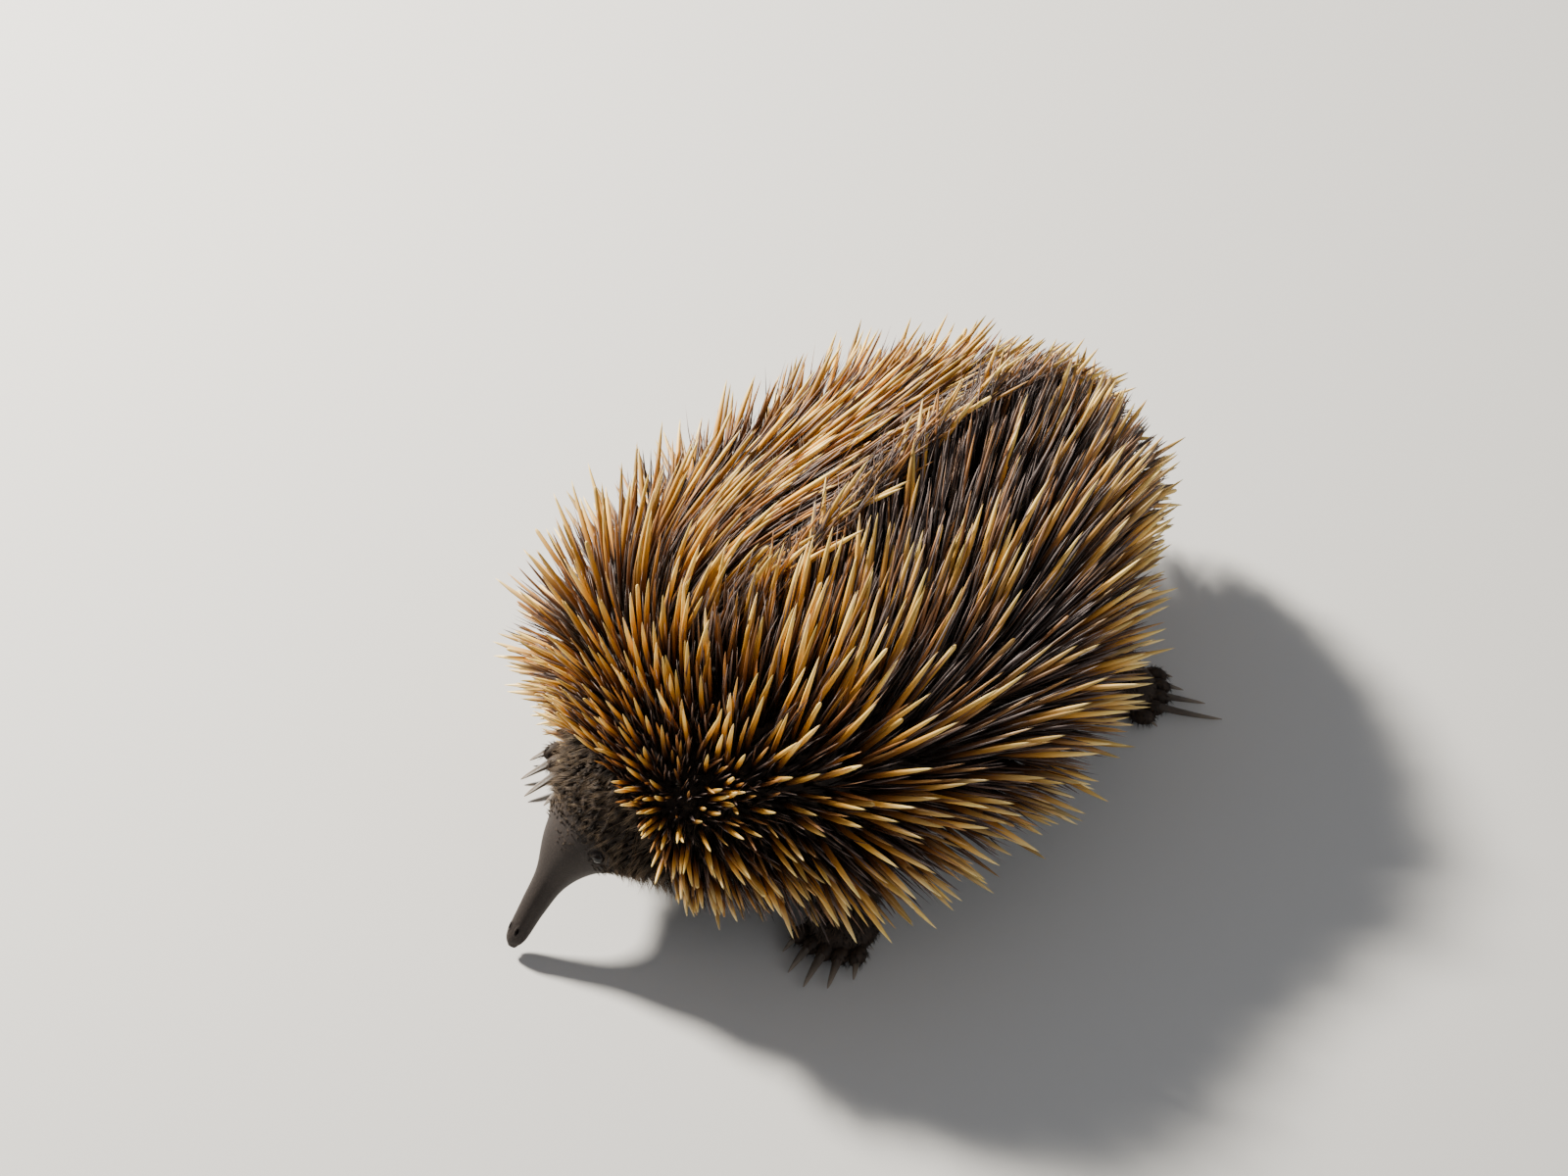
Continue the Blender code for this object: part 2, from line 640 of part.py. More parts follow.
make_body()
make_beak_details(animal.objects["beak"])
make_eyes_and_ears(animal.objects["head"])
body_guide = make_body_cutter()
for kind in LEGS:
    for side, name in ((1, "left"), (-1, "right")):
        make_leg(kind, side, name, body_guide)
make_spines()
stand_on_origin()
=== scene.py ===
# %% [markdown]
# # A short-beaked echidna as a still, life-size model
#
# A short-beaked echidna is a round, low animal about as long as a forearm. Four kinds of covering
# make it look the way it does: stout hollow spines over the back and flanks, dark fur between and
# below them, bare skin on the tube of the beak, and horn on the claws. This lesson dresses the
# solid model, which is already built, with those four coverings, from the skin outwards.
#
# Every length below is in millimetres, in the frame in which the solids were drawn: the animal
# faces -Y, its left is +X and its soles are at height zero. Meshes are turned into metres last.

# %% Load the solids and keep their size
import json
import math

import bmesh
import bpy
import numpy as np
from mathutils import Matrix, Vector
from mathutils.bvhtree import BVHTree

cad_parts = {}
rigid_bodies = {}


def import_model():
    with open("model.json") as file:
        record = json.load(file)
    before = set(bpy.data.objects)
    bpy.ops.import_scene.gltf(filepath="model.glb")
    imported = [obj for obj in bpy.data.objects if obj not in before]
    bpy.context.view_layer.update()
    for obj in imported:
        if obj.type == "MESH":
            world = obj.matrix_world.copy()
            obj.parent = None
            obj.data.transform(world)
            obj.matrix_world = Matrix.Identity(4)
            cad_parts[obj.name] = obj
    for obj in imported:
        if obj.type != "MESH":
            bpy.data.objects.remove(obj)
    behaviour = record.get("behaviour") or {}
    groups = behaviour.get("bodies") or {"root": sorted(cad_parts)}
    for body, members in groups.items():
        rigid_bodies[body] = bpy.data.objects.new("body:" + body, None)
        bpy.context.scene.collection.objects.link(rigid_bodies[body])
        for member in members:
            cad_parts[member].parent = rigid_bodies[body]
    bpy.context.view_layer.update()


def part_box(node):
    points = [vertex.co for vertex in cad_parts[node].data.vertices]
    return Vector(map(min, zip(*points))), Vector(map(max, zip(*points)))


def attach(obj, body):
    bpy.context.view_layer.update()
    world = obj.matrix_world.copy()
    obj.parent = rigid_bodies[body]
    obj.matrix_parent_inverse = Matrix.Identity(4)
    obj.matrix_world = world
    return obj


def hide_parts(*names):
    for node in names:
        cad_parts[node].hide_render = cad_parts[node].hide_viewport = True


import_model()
MM = 0.001
FOOT_PLACES = {"front": (73, -95, 6), "hind": (72, 91, 6)}
low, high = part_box("front_foot_left")
SHIFT = np.array([(low[0] + high[0]) / 2 / MM - FOOT_PLACES["front"][0],
                  (low[1] + high[1]) / 2 / MM - FOOT_PLACES["front"][1], 0.0])
print("the packed model stands", SHIFT.round(2), "mm from where it was drawn")

# %% [markdown]
# ## The body's own form
#
# The trunk, head and beak are one tapering form. It is written down as stations, rings across the
# body, each with a centre, a half width and the distances from the centre to the back and to the
# belly. A smooth curve through the stations gives a ring anywhere between them. A place on the
# body is then two numbers: `t`, the station, and `turn`, the angle round the body from the middle
# of the back. Everything that grows on the skin is planted with these two numbers.
#
# The form could also be sculpted by hand. It is a rule instead, because the solids were drawn from
# the same stations, so that the two agree everywhere, and because a rule can be asked for any place.

# %% Stations along the body
BODY = np.array([  # across, along, up, half width, above, below
    (-24, -198, 5.2, 2.2, 2.2, 2.0),   # 0 end of the beak
    (-24, -195, 9, 4.4, 4.2, 4.2),     # 1 beak's tip
    (-22.5, -186, 21, 5.4, 5.4, 5.4),  # 2 lower beak
    (-20.5, -176, 33, 7.6, 7.4, 7.4),  # 3 upper beak
    (-18, -165, 44, 16, 14, 13.5),     # 4 root of the beak
    (-14, -152, 51, 27, 24, 22),       # 5 brow
    (-9, -137, 56, 40, 34, 29),        # 6 ears
    (-4, -119, 61, 60, 45, 38),        # 7 nape
    (-1, -92, 65, 80, 54, 46),         # 8 neck
    (0, -52, 67, 90, 60, 50),          # 9 shoulders
    (0, -10, 69, 93, 63, 53),          # 10 chest
    (0, 35, 71, 82, 67, 54),           # 11 middle
    (0, 78, 72, 62, 61, 50),           # 12 loin
    (0, 106, 70, 49, 50, 44),          # 13 rump
    (0, 127, 65, 35, 36, 33),          # 14 root of the tail
    (0, 141, 59, 22, 22, 21),          # 15 tail
    (0, 152, 53, 9, 9, 9)], float)     # 16 end of the tail
SQUARENESS = 2.2
LAST = len(BODY) - 1
print("widest ring", round(2 * BODY[:, 3].max()), "mm across")
print("body", round(BODY[-1, 1] - BODY[0, 1]), "mm long")

# %% A smooth curve through the stations
def smooth(low, high, value):
    """0 below low, 1 above high and an even blend between."""
    part = np.clip((np.asarray(value, float) - low) / (high - low), 0, 1)
    return part * part * (3 - 2 * part)


def unit(vectors):
    return vectors / np.linalg.norm(vectors, axis=-1, keepdims=True)


def dot(a, b):
    return (a * b).sum(axis=-1, keepdims=True)


def spline(rows, t):
    """Smooth values between the rows of a table, at positions t."""
    rows, t = np.asarray(rows, float), np.asarray(t, float)
    last = len(rows) - 1
    start = np.clip(np.floor(t).astype(int), 0, last - 1)
    part = (t - start)[..., None]
    p0, p1, p2, p3 = (rows[np.clip(start + step, 0, last)] for step in (-1, 0, 1, 2))
    return 0.5 * (2 * p1 + (p2 - p0) * part + (2 * p0 - 5 * p1 + 4 * p2 - p3) * part ** 2
                  + (3 * p1 - p0 - 3 * p2 + p3) * part ** 3)


print("halfway from brow to ears the head is", round(2 * float(spline(BODY, 5.5)[3])), "mm wide")

# %% Places and directions on the body
def axes_at(t):
    """Directions towards the tail, the animal's left and its back at positions t."""
    t = np.asarray(t, float)
    along = unit(spline(BODY, t + 0.05)[..., :3] - spline(BODY, t - 0.05)[..., :3])
    left = unit(np.cross(along, (0.0, 0.0, 1.0)))
    return along, left, np.cross(left, along)


def body_at(t, turn, grow=0.0):
    """Places on the body, drawn in or out by grow."""
    row, (_, left, up) = spline(BODY, t), axes_at(t)
    sine, cosine = np.sin(turn), np.cos(turn)
    side = (row[..., 3] + grow) * np.copysign(np.abs(sine) ** (2 / SQUARENESS), sine)
    reach = np.where(cosine > 0, row[..., 4], row[..., 5]) + grow
    reach = reach * np.copysign(np.abs(cosine) ** (2 / SQUARENESS), cosine)
    return row[..., :3] + left * side[..., None] + up * reach[..., None]


def body_normal(t, turn, step=0.02):
    """Directions straight out of the body."""
    down = body_at(np.clip(t + step, 0, LAST), turn) - body_at(np.clip(t - step, 0, LAST), turn)
    around = body_at(t, turn + step) - body_at(t, turn - step)
    normal = unit(np.cross(down, around))
    outward = body_at(t, turn) - spline(BODY, t)[..., :3]
    return np.where(dot(normal, outward) < 0, -normal, normal)


def facing(t, turn):
    """Axes at one place on the skin: around the body, towards the tail, and outwards."""
    out = body_normal(np.array(t), np.array(turn))
    back = axes_at(t)[0]
    back = unit(back - out * dot(back, out))
    return np.array([np.cross(back, out), back, out])


print("the back stands", round(float(body_at(np.array(11.0), np.array(0.0))[2])), "mm above the soles")

# %% [markdown]
# ## Folds, lids and openings of the head
#
# On the real head the skin is thin and lies close on the skull. It gathers in small folds round
# the bead-like eye, turns in at the slit of the ear, and is drawn tight over the beak, where the
# nostrils and the tiny mouth sit right at the end. All of these are changes of height on one
# surface, so they are made by moving the surface's points: the lids are laid over the eyeball a
# fraction of a millimetre proud of it, and the openings are sunk. Cutting them out of the head
# would be quicker, but it leaves hard edges that skin doesn't have.

# %% Lay the lids over the eyes
EYE_T, EYE_TURN, EYE_RADIUS, EYE_SUNK = 4.42, math.radians(66), 3.3, 1.2
LID_OPEN_TALL, LID_OPEN_LONG, LID_THICK = 2.15, 2.75, 0.34


def lidded(points, side):
    """Lays the skin over an eyeball, with an opening between the lids and folds round it."""
    frame_eye = facing(EYE_T, side * EYE_TURN)
    place = body_at(np.array(EYE_T), np.array(side * EYE_TURN))
    x, y, z = ((points - place) @ frame_eye.T).T
    radius = np.hypot(x, y)
    ball = np.sqrt(np.clip(EYE_RADIUS ** 2 - radius ** 2, 0, None)) - EYE_SUNK
    opening = np.hypot(x / LID_OPEN_TALL, y / LID_OPEN_LONG)
    folds = 0.35 * np.exp(-((radius - 4.7) / 0.55) ** 2) + 0.22 * np.exp(-((radius - 6.4) / 0.6) ** 2)
    folds = folds - 0.3 * np.exp(-((radius - 3.85) / 0.4) ** 2)
    over = z + folds * (0.75 + 0.25 * np.sin(np.arctan2(y, x) * 5))
    draped = ball + LID_THICK
    lid = np.where(radius < EYE_RADIUS, np.maximum(over, draped), over)
    height = np.where(opening < 1, ball - 1.4, lid)
    near = (radius < 9) & (np.abs(z) < 7)
    return points + np.where(near, height - z, 0.0)[:, None] * frame_eye[2]


print("eyeballs", 2 * EYE_RADIUS, "mm across, with an opening", 2 * LID_OPEN_LONG, "mm long")

# %% Sink the ear slits, the nostrils and the mouth
EAR_T, EAR_TURN, EAR_TALL, EAR_WIDE, EAR_DEEP = 5.62, math.radians(92), 7.0, 1.9, 4.5
EAR_RIM, EAR_REACH = 0.9, 12.0
NOSTRIL_T, NOSTRIL_APART, NOSTRIL_WIDE, NOSTRIL_LONG, NOSTRIL_DEEP = 1.25, 2.2, 0.75, 1.7, 1.3
NOSTRIL_RIM, NOSTRIL_REACH = 0.3, 2.5
MOUTH_BACK, MOUTH_LONG, MOUTH_BELOW, MOUTH_DEEP = 2.5, 4.6, 1.3, 1.1


def sunk(points, place, axes, half_around, half_along, deep, rim, reach):
    """Sinks an oval opening into the skin and raises a soft rim, on points within reach of its level."""
    x, y, z = ((points - place) @ axes.T).T
    oval = np.hypot(x / half_around, y / half_along)
    near = np.abs(z) < reach
    height = -deep * (1 - smooth(0.45, 1.05, oval)) + rim * np.exp(-((oval - 1.35) / 0.35) ** 2)
    return points + np.where(near & (oval < 4), height, 0.0)[:, None] * axes[2]


def with_details(points, t):
    """The head's details on points that lie on the body at positions t."""
    head = t < 7
    shaped = points[head]
    for side in (-1, 1):
        shaped = lidded(shaped, side)
        turn = side * EAR_TURN
        shaped = sunk(shaped, body_at(np.array(EAR_T), np.array(turn)), facing(EAR_T, turn),
                      EAR_TALL, EAR_WIDE, EAR_DEEP, EAR_RIM, EAR_REACH)
        turn = side * math.asin(NOSTRIL_APART / spline(BODY, NOSTRIL_T)[3])
        shaped = sunk(shaped, body_at(np.array(NOSTRIL_T), np.array(turn)), facing(NOSTRIL_T, turn),
                      NOSTRIL_WIDE, NOSTRIL_LONG, NOSTRIL_DEEP, NOSTRIL_RIM, NOSTRIL_REACH)
    along, _, up = axes_at(0.5)
    corner = BODY[0, :3] + along * MOUTH_BACK - up * MOUTH_BELOW
    above, back = (shaped - corner) @ up, (shaped - corner) @ along
    groove = np.exp(-(above / 0.42) ** 2) * (1 - smooth(MOUTH_LONG - 1.2, MOUTH_LONG + 0.6, back))
    inwards = spline(BODY, t[head])[:, :3] - shaped
    shaped = shaped + unit(inwards + 1e-9) * (MOUTH_DEEP * groove)[:, None]
    result = points.copy()
    result[head] = shaped
    return result


print("ear slits", 2 * EAR_TALL, "mm tall, nostrils", 2 * NOSTRIL_LONG, "mm long")

# %% [markdown]
# ## One skin
#
# The solids part the body into lengths with thin gaps. Flesh has no such gaps, so one skin takes
# the place of all of them: a fine net over the trunk, with its rings and columns drawn together
# at the eyes and the beak's tip, joined to four legs, four feet and twenty toes. It lies inside
# the solids by the depth of the fur that will stand on it. Where a leg leaves the trunk the joint
# is relaxed until it is rounded, as skin over muscle is.
#
# A voxel remesh would join everything in one step, but it would also blur the lids and the
# nostrils. The exact union keeps them, and only the points near a joint move afterwards.

# %% Draw the net together where the detail is fine
FUR_DEPTH = ((3.6, 0.0), (4.8, 0.4), (6.0, 1.4), (8.0, 2.6), (16.0, 2.6))
RINGS, COLUMNS = 250, 232


def spread(weight, start, end, count):
    """Positions from start to end, closest together where weight is largest."""
    fine = np.linspace(start, end, 6001)
    total = np.concatenate(([0.0], np.cumsum(weight((fine[1:] + fine[:-1]) / 2))))
    return np.interp(np.linspace(0, total[-1], count), total, fine)


def fur_depth(t):
    return np.interp(t, *zip(*FUR_DEPTH))


def ring_weight(t):
    """How close the rings stand: closest at the eyes, the ears and the beak's tip."""
    return (9 + 12 * (t < 4) + 26 * np.exp(-((t - EYE_T) / 0.32) ** 2)
            + 10 * np.exp(-((t - 5.7) / 0.8) ** 2) + 22 * np.exp(-((t - 0.6) / 0.8) ** 2))


def column_weight(turn):
    """How close the columns stand: closest at the turn of the eyes and the ears."""
    degrees = np.abs(np.degrees(turn))
    return 1 + 2.4 * np.exp(-((degrees - 66) / 13) ** 2) + 0.8 * np.exp(-((degrees - 92) / 12) ** 2)


print("a net of", RINGS, "rings and", COLUMNS, "columns")

# %% Points and faces of the trunk
def trunk_net():
    """The closed net, in rings from the beak to the tail, with a rounded cap at each end."""
    t = spread(ring_weight, 0, LAST, RINGS)
    turn = spread(column_weight, -math.pi, math.pi, COLUMNS + 1)[:-1]
    t_grid, turn_grid = (grid.ravel() for grid in np.meshgrid(t, turn, indexing="ij"))
    points = with_details(body_at(t_grid, turn_grid, -fur_depth(t_grid)), t_grid)
    ring = np.arange(RINGS - 1)[:, None] * COLUMNS + np.arange(COLUMNS)[None]
    beside = np.arange(RINGS - 1)[:, None] * COLUMNS + (np.arange(COLUMNS)[None] + 1) % COLUMNS
    faces = np.stack((ring, ring + COLUMNS, beside + COLUMNS, beside), axis=-1).reshape(-1, 4).tolist()
    ends = ((0, -1.0, 0), (LAST, 3.0, RINGS - 1))  # station, how far its cap bulges, ring
    for place, forward, row in ends:
        centre = spline(BODY, place)[:3] + axes_at(place)[0] * forward
        inner = points[row * COLUMNS:(row + 1) * COLUMNS]
        rows = [row * COLUMNS + np.arange(COLUMNS)]
        for share in (0.75, 0.4):
            rows.append(len(points) + np.arange(COLUMNS))
            bulge = math.sqrt(1 - share * share)
            flat = inner * share + spline(BODY, place)[:3] * (1 - share)
            points = np.vstack((points, flat + axes_at(place)[0] * forward * bulge))
        rows.append(np.full(COLUMNS, len(points)))
        points = np.vstack((points, centre))
        for first, second in zip(rows, rows[1:]):
            for i in range(COLUMNS):
                j = (i + 1) % COLUMNS
                face = [first[i], first[j], second[j], second[i]]
                faces.append(list(dict.fromkeys(int(v) for v in face)))
    return points, faces


trunk_points, trunk_faces = trunk_net()
print(len(trunk_faces), "faces, the largest with", max(map(len, trunk_faces)), "corners")

# %% Turn points and faces into an object
def in_scene(name, data):
    """A new object in the scene, at the origin and unturned."""
    obj = bpy.data.objects.new(name, data)
    bpy.context.scene.collection.objects.link(obj)
    return obj


def closed_mesh(name, points, faces):
    """A mesh object in metres whose faces look outwards."""
    bm = bmesh.new()
    verts = [bm.verts.new(point) for point in (np.asarray(points) + SHIFT) * MM]
    for face in faces:
        bm.faces.new([verts[i] for i in face])
    bmesh.ops.recalc_face_normals(bm, faces=bm.faces)
    mesh = bpy.data.meshes.new(name)
    bm.to_mesh(mesh)
    bm.free()
    return in_scene(name, mesh)


skin = closed_mesh("skin", trunk_points, trunk_faces)
print("trunk net:", len(skin.data.vertices), "points")

# %% [markdown]
# The legs are short and strong. Each is a bent tube with the fur's depth taken off, and each ends
# in a broad foot. A toe is a small pad that its claw grows from. The hind feet point outwards and
# back, which is how an echidna stands and digs itself in. Tubes and balls are enough here, because
# fur will cover them, and they have exactly the solids' places and sizes.

# %% Sizes of the legs, feet and claws
LEGS = {"front": (((50, -64, 48), (63, -75, 33), (70, -86, 22), (72, -92, 8)), (22, 18, 14.5, 12.5)),
        "hind": (((46, 70, 50), (60, 78, 35), (67, 85, 23), (69, 88, 8)), (24, 20, 15, 12.5))}
FEET = {"front": ((16.5, 17, 11), 14.0), "hind": ((16.5, 18, 11), 118.0)}  # radii, heading from -Y
CLAWS = {  # length, half width, half height and curl in degrees, from the inner toe to the outer
    "front": ((11, 2.2, 1.6, 0), (17, 2.5, 1.8, 0), (20, 2.6, 1.9, 0), (17, 2.5, 1.8, 0), (11, 2.2, 1.6, 0)),
    "hind": ((7, 1.9, 1.6, 4), (31, 2.2, 1.9, 26), (21, 2.1, 1.8, 18), (11, 2.0, 1.6, 8), (8, 1.9, 1.6, 4))}
TOE_STEP, TOE_FAN, TOES_INSET = 6.0, math.radians(9), 3.0
CLAW_ROOTED, CLAW_TIP_HEIGHT, CLAW_TAPER = 5.0, 2.0, 0.78
LEG_FUR, FOOT_FUR = 2.2, 0.9
LEG_RINGS, LEG_SIDES = 30, 40
PAD_AHEAD, PAD_LOW, PAD_WIDER, PAD_LONG, PAD_TALL = 4.6, 1.4, 1.4, 5.6, 3.7
SIDES = ((1, "left"), (-1, "right"))
print("the longest claw is", max(claw[0] for claw in CLAWS["hind"]), "mm long")

# %% The tube of a leg
def ring_faces(rings, sides):
    """The faces of a tube of rings, with a cap at each end."""
    faces = [[r * sides + i, r * sides + (i + 1) % sides,
              (r + 1) * sides + (i + 1) % sides, (r + 1) * sides + i]
             for r in range(rings - 1) for i in range(sides)]
    return faces + [list(range(sides)), list(range((rings - 1) * sides, rings * sides))]


def leg_points(kind, side, s, angle, grow=0.0):
    """Places on a leg's tube, s from 0 at the trunk to 1 at the foot."""
    path, radii = LEGS[kind]
    rows = np.array([(side * x, y, z, r) for (x, y, z), r in zip(path, radii)], float)
    row = spline(rows, s * 3)
    along = unit(spline(rows, s * 3 + 0.05)[..., :3] - spline(rows, s * 3 - 0.05)[..., :3])
    across = unit(np.cross(along, (0.0, 1.0, 0.0)))
    over = np.cross(across, along)
    radius = (row[..., 3] + grow)[..., None]
    return row[..., :3] + radius * (across * np.cos(angle)[..., None] + over * np.sin(angle)[..., None])


print("a leg has", len(ring_faces(LEG_RINGS, LEG_SIDES)), "faces")

# %% The ball of a foot or a toe
def heading_axes(kind, side):
    """A foot's own axes: across it, along it and up."""
    angle = side * math.radians(FEET[kind][1])
    sine, cosine = math.sin(angle), math.cos(angle)
    return np.array(((cosine, -sine, 0), (sine, cosine, 0), (0, 0, 1)))


def ball_mesh(name, centre, radii, axes, segments, rings):
    bm = bmesh.new()
    bmesh.ops.create_uvsphere(bm, u_segments=segments, v_segments=rings, radius=1.0)
    points = np.array([v.co for v in bm.verts]) * radii @ np.asarray(axes).T + centre
    bm.verts.ensure_lookup_table()
    for vertex, point in zip(bm.verts, (points + SHIFT) * MM):
        vertex.co = point
    mesh = bpy.data.meshes.new(name)
    bm.to_mesh(mesh)
    bm.free()
    return in_scene(name, mesh)


def toe_root(kind, side, number):
    """Where a claw starts inside its foot, in the foot's own axes, and the way it points."""
    radii, step = FEET[kind][0], number - 3
    offset = side * step * TOE_STEP
    reach = radii[1] * math.sqrt(1 - (offset / (radii[0] + TOES_INSET)) ** 2) - CLAW_ROOTED
    return np.array((offset, -reach, 0.0)), side * step * TOE_FAN


print("middle claw starts", -toe_root("front", 1, 3)[0][1], "mm before the middle of its foot")

# %% Make the legs, feet and toes
limbs = []
for kind in ("front", "hind"):
    for side, name in SIDES:
        s, angle = np.meshgrid(np.linspace(0, 1, LEG_RINGS), np.arange(LEG_SIDES) * math.tau / LEG_SIDES,
                               indexing="ij")
        tube = leg_points(kind, side, s.ravel(), angle.ravel(), -LEG_FUR)
        limbs.append(closed_mesh("leg", tube, ring_faces(LEG_RINGS, LEG_SIDES)))
        centre = np.array(FOOT_PLACES[kind], float) * (side, 1, 1)
        axes = heading_axes(kind, side)
        radii = np.array(FEET[kind][0], float) - FOOT_FUR
        limbs.append(ball_mesh("foot", centre, radii, axes, 40, 24))
        for number in range(1, 6):
            root, way = toe_root(kind, side, number)
            width = CLAWS[kind][number - 1][1]
            pad = root + np.array((math.sin(way), -math.cos(way), 0)) * PAD_AHEAD - (0, 0, PAD_LOW)
            radii = (width + PAD_WIDER, PAD_LONG, PAD_TALL)
            limbs.append(ball_mesh("toe", centre + axes @ pad, radii, axes, 20, 14))
print(len(limbs), "pieces of limb")

# %% [markdown]
# The trunk and the limbs are joined by a boolean union, which keeps what is outside and drops what
# lies hidden within. A union leaves sharp creases, and a living leg has none, so the points near
# both surfaces are relaxed. Remeshing the whole animal would round the joints too, but it would
# blur the fine lids and slits of the head.

# %% Note where trunk and limbs run
JOINT_REACH, TIMES_RELAXED = 6, 14


def tree_of(objects):
    """A search tree over the surfaces of some objects, in metres."""
    points, faces = [], []
    for obj in objects:
        first = len(points)
        points += [v.co.copy() for v in obj.data.vertices]
        faces += [[first + i for i in p.vertices] for p in obj.data.polygons]
    return BVHTree.FromPolygons(points, faces)


SURFACES = tree_of([skin]), tree_of(limbs)
print("points within", JOINT_REACH, "mm of both surfaces will be relaxed")

# %% Join the limbs to the trunk
def unite(trunk, pieces):
    """Puts the union of the pieces in the place of the trunk's mesh."""
    group = bpy.data.collections.new("limbs")
    for piece in pieces:
        group.objects.link(piece)
    modifier = trunk.modifiers.new("join", "BOOLEAN")
    modifier.operation, modifier.solver = "UNION", "MANIFOLD"
    modifier.operand_type, modifier.collection = "COLLECTION", group
    depsgraph = bpy.context.evaluated_depsgraph_get()
    mesh = bpy.data.meshes.new_from_object(trunk.evaluated_get(depsgraph))
    trunk.modifiers.clear()
    trunk.data = mesh
    for piece in pieces:
        bpy.data.objects.remove(piece)
    bpy.data.collections.remove(group)


unite(skin, limbs)
print("joined skin:", len(skin.data.polygons), "faces")

# %% Round the joints
def relax_joints(bm):
    """Smooths the points that lie near both trunk and limbs."""
    joint = [v for v in bm.verts
             if all(tree.find_nearest(v.co, JOINT_REACH * MM)[0] is not None for tree in SURFACES)]
    for _ in range(TIMES_RELAXED):
        bmesh.ops.smooth_vert(bm, verts=joint, factor=0.5, use_axis_x=True, use_axis_y=True, use_axis_z=True)
    return len(joint)


skin_bm = bmesh.new()
skin_bm.from_mesh(skin.data)
print("relaxed points:", relax_joints(skin_bm))

# %% Cut the soles flat at the floor
def flatten_soles(bm):
    """Takes away what is below the floor, and closes the skin there."""
    everything = list(bm.verts) + list(bm.edges) + list(bm.faces)
    cut = bmesh.ops.bisect_plane(bm, geom=everything, dist=1e-7, plane_co=(0, 0, 0), plane_no=(0, 0, 1),
                                 clear_inner=True)["geom_cut"]
    bmesh.ops.holes_fill(bm, edges=[e for e in cut if isinstance(e, bmesh.types.BMEdge)], sides=0)
    bmesh.ops.recalc_face_normals(bm, faces=bm.faces)
    for face in bm.faces:
        face.smooth = abs(face.normal.z) < 0.999 or face.calc_center_median().z > 1e-5
    bmesh.ops.triangulate(bm, faces=[f for f in bm.faces if len(f.verts) > 4])


flatten_soles(skin_bm)
print("open edges:", sum(1 for e in skin_bm.edges if len(e.link_faces) != 2))

# %% List the faces in a fixed order
# the join lists its faces in another order each time, and the fur is drawn from that list
skin_bm.verts.index_update()
point_count = len(skin_bm.verts)
skin_bm.faces.sort(key=lambda face: face.verts[0].index * point_count + face.verts[1].index)
skin_bm.to_mesh(skin.data)
skin_bm.free()
print("finished skin:", len(skin.data.polygons), "faces")

# %% [markdown]
# ## Materials
#
# Each covering gets a material that reads either the object's own coordinates or numbers stored
# on the mesh while it is grown. On a spine the number `along` runs from 0 at the root to 1 at the
# tip: spines are dark where they leave the skin, warm brown to golden in the middle, and pale at
# the tip. A second number, `tone`, tells a thin dark spine from a stout golden one. A painted
# picture would need thousands of spines laid out flat, while a stored number needs no picture at all.

# %% Helpers that add a material and a node
def new_material(name, roughness):
    """A material with its node tree and its shader."""
    material = bpy.data.materials.new(name)
    material.use_nodes = True
    shader = material.node_tree.nodes["Principled BSDF"]
    shader.inputs["Roughness"].default_value = roughness
    return material, material.node_tree, shader


def add(tree, kind, **values):
    """Adds a node. A value is a setting, a socket's constant, or another node's socket."""
    node = tree.nodes.new(kind)
    for key, value in values.items():
        if hasattr(node, key):
            setattr(node, key, value)
            continue
        socket = node.inputs[int(key[1:])] if key[0] == "i" and key[1:].isdigit() else node.inputs[key]
        if isinstance(value, bpy.types.NodeSocket):
            tree.links.new(value, socket)
        else:
            socket.default_value = value
    return node


print("helpers for materials and nodes ready")

# %% Helpers for colours
def ramp(tree, fac, stops):
    """A colour ramp through (position, colour) stops."""
    node = add(tree, "ShaderNodeValToRGB", i0=fac)
    elements = node.color_ramp.elements
    for position, _ in stops[2:]:
        elements.new(position)
    for element, (position, colour) in zip(elements, sorted(stops)):
        element.position = position
        element.color = (*colour, 1)
    return node.outputs["Color"]


def mix(tree, fac, first, second, blend="MIX"):
    """Two colours mixed. Each is a fixed colour or another node's socket."""
    node = add(tree, "ShaderNodeMix", data_type="RGBA", blend_type=blend)
    for socket, value in ((node.inputs[0], fac), (node.inputs[6], first), (node.inputs[7], second)):
        if isinstance(value, bpy.types.NodeSocket):
            tree.links.new(value, socket)
        else:
            socket.default_value = value if isinstance(value, float) else (*value, 1)
    return node.outputs[2]


print("helpers for ramps and mixes ready")

# %% Helpers for numbers that a material reads
def maths(tree, operation, *values):
    """A calculation with up to three numbers."""
    inputs = {"i%d" % index: value for index, value in enumerate(values)}
    return add(tree, "ShaderNodeMath", operation=operation, **inputs).outputs[0]


def between(tree, value, start, end):
    """0 where value is at start, 1 where it is at end."""
    node = add(tree, "ShaderNodeMapRange", Value=value)
    node.inputs["From Min"].default_value, node.inputs["From Max"].default_value = start, end
    return node.outputs[0]


def value_of(tree, name):
    return add(tree, "ShaderNodeAttribute", attribute_name=name).outputs["Fac"]


def noise(tree, scale, detail=2.0):
    """Cloudy values from the object's own coordinates, with features of 1/scale metres."""
    where = add(tree, "ShaderNodeTexCoord").outputs["Object"]
    return add(tree, "ShaderNodeTexNoise", Vector=where, Scale=scale, Detail=detail).outputs["Fac"]


def store(mesh, name, values):
    """Keeps one number for each point of a mesh, for a material to read."""
    mesh.attributes.new(name, "FLOAT", "POINT").data.foreach_set("value", values)


def bump(tree, shader, height, strength, distance):
    node = add(tree, "ShaderNodeBump", Height=height, Strength=strength, Distance=distance)
    tree.links.new(node.outputs["Normal"], shader.inputs["Normal"])


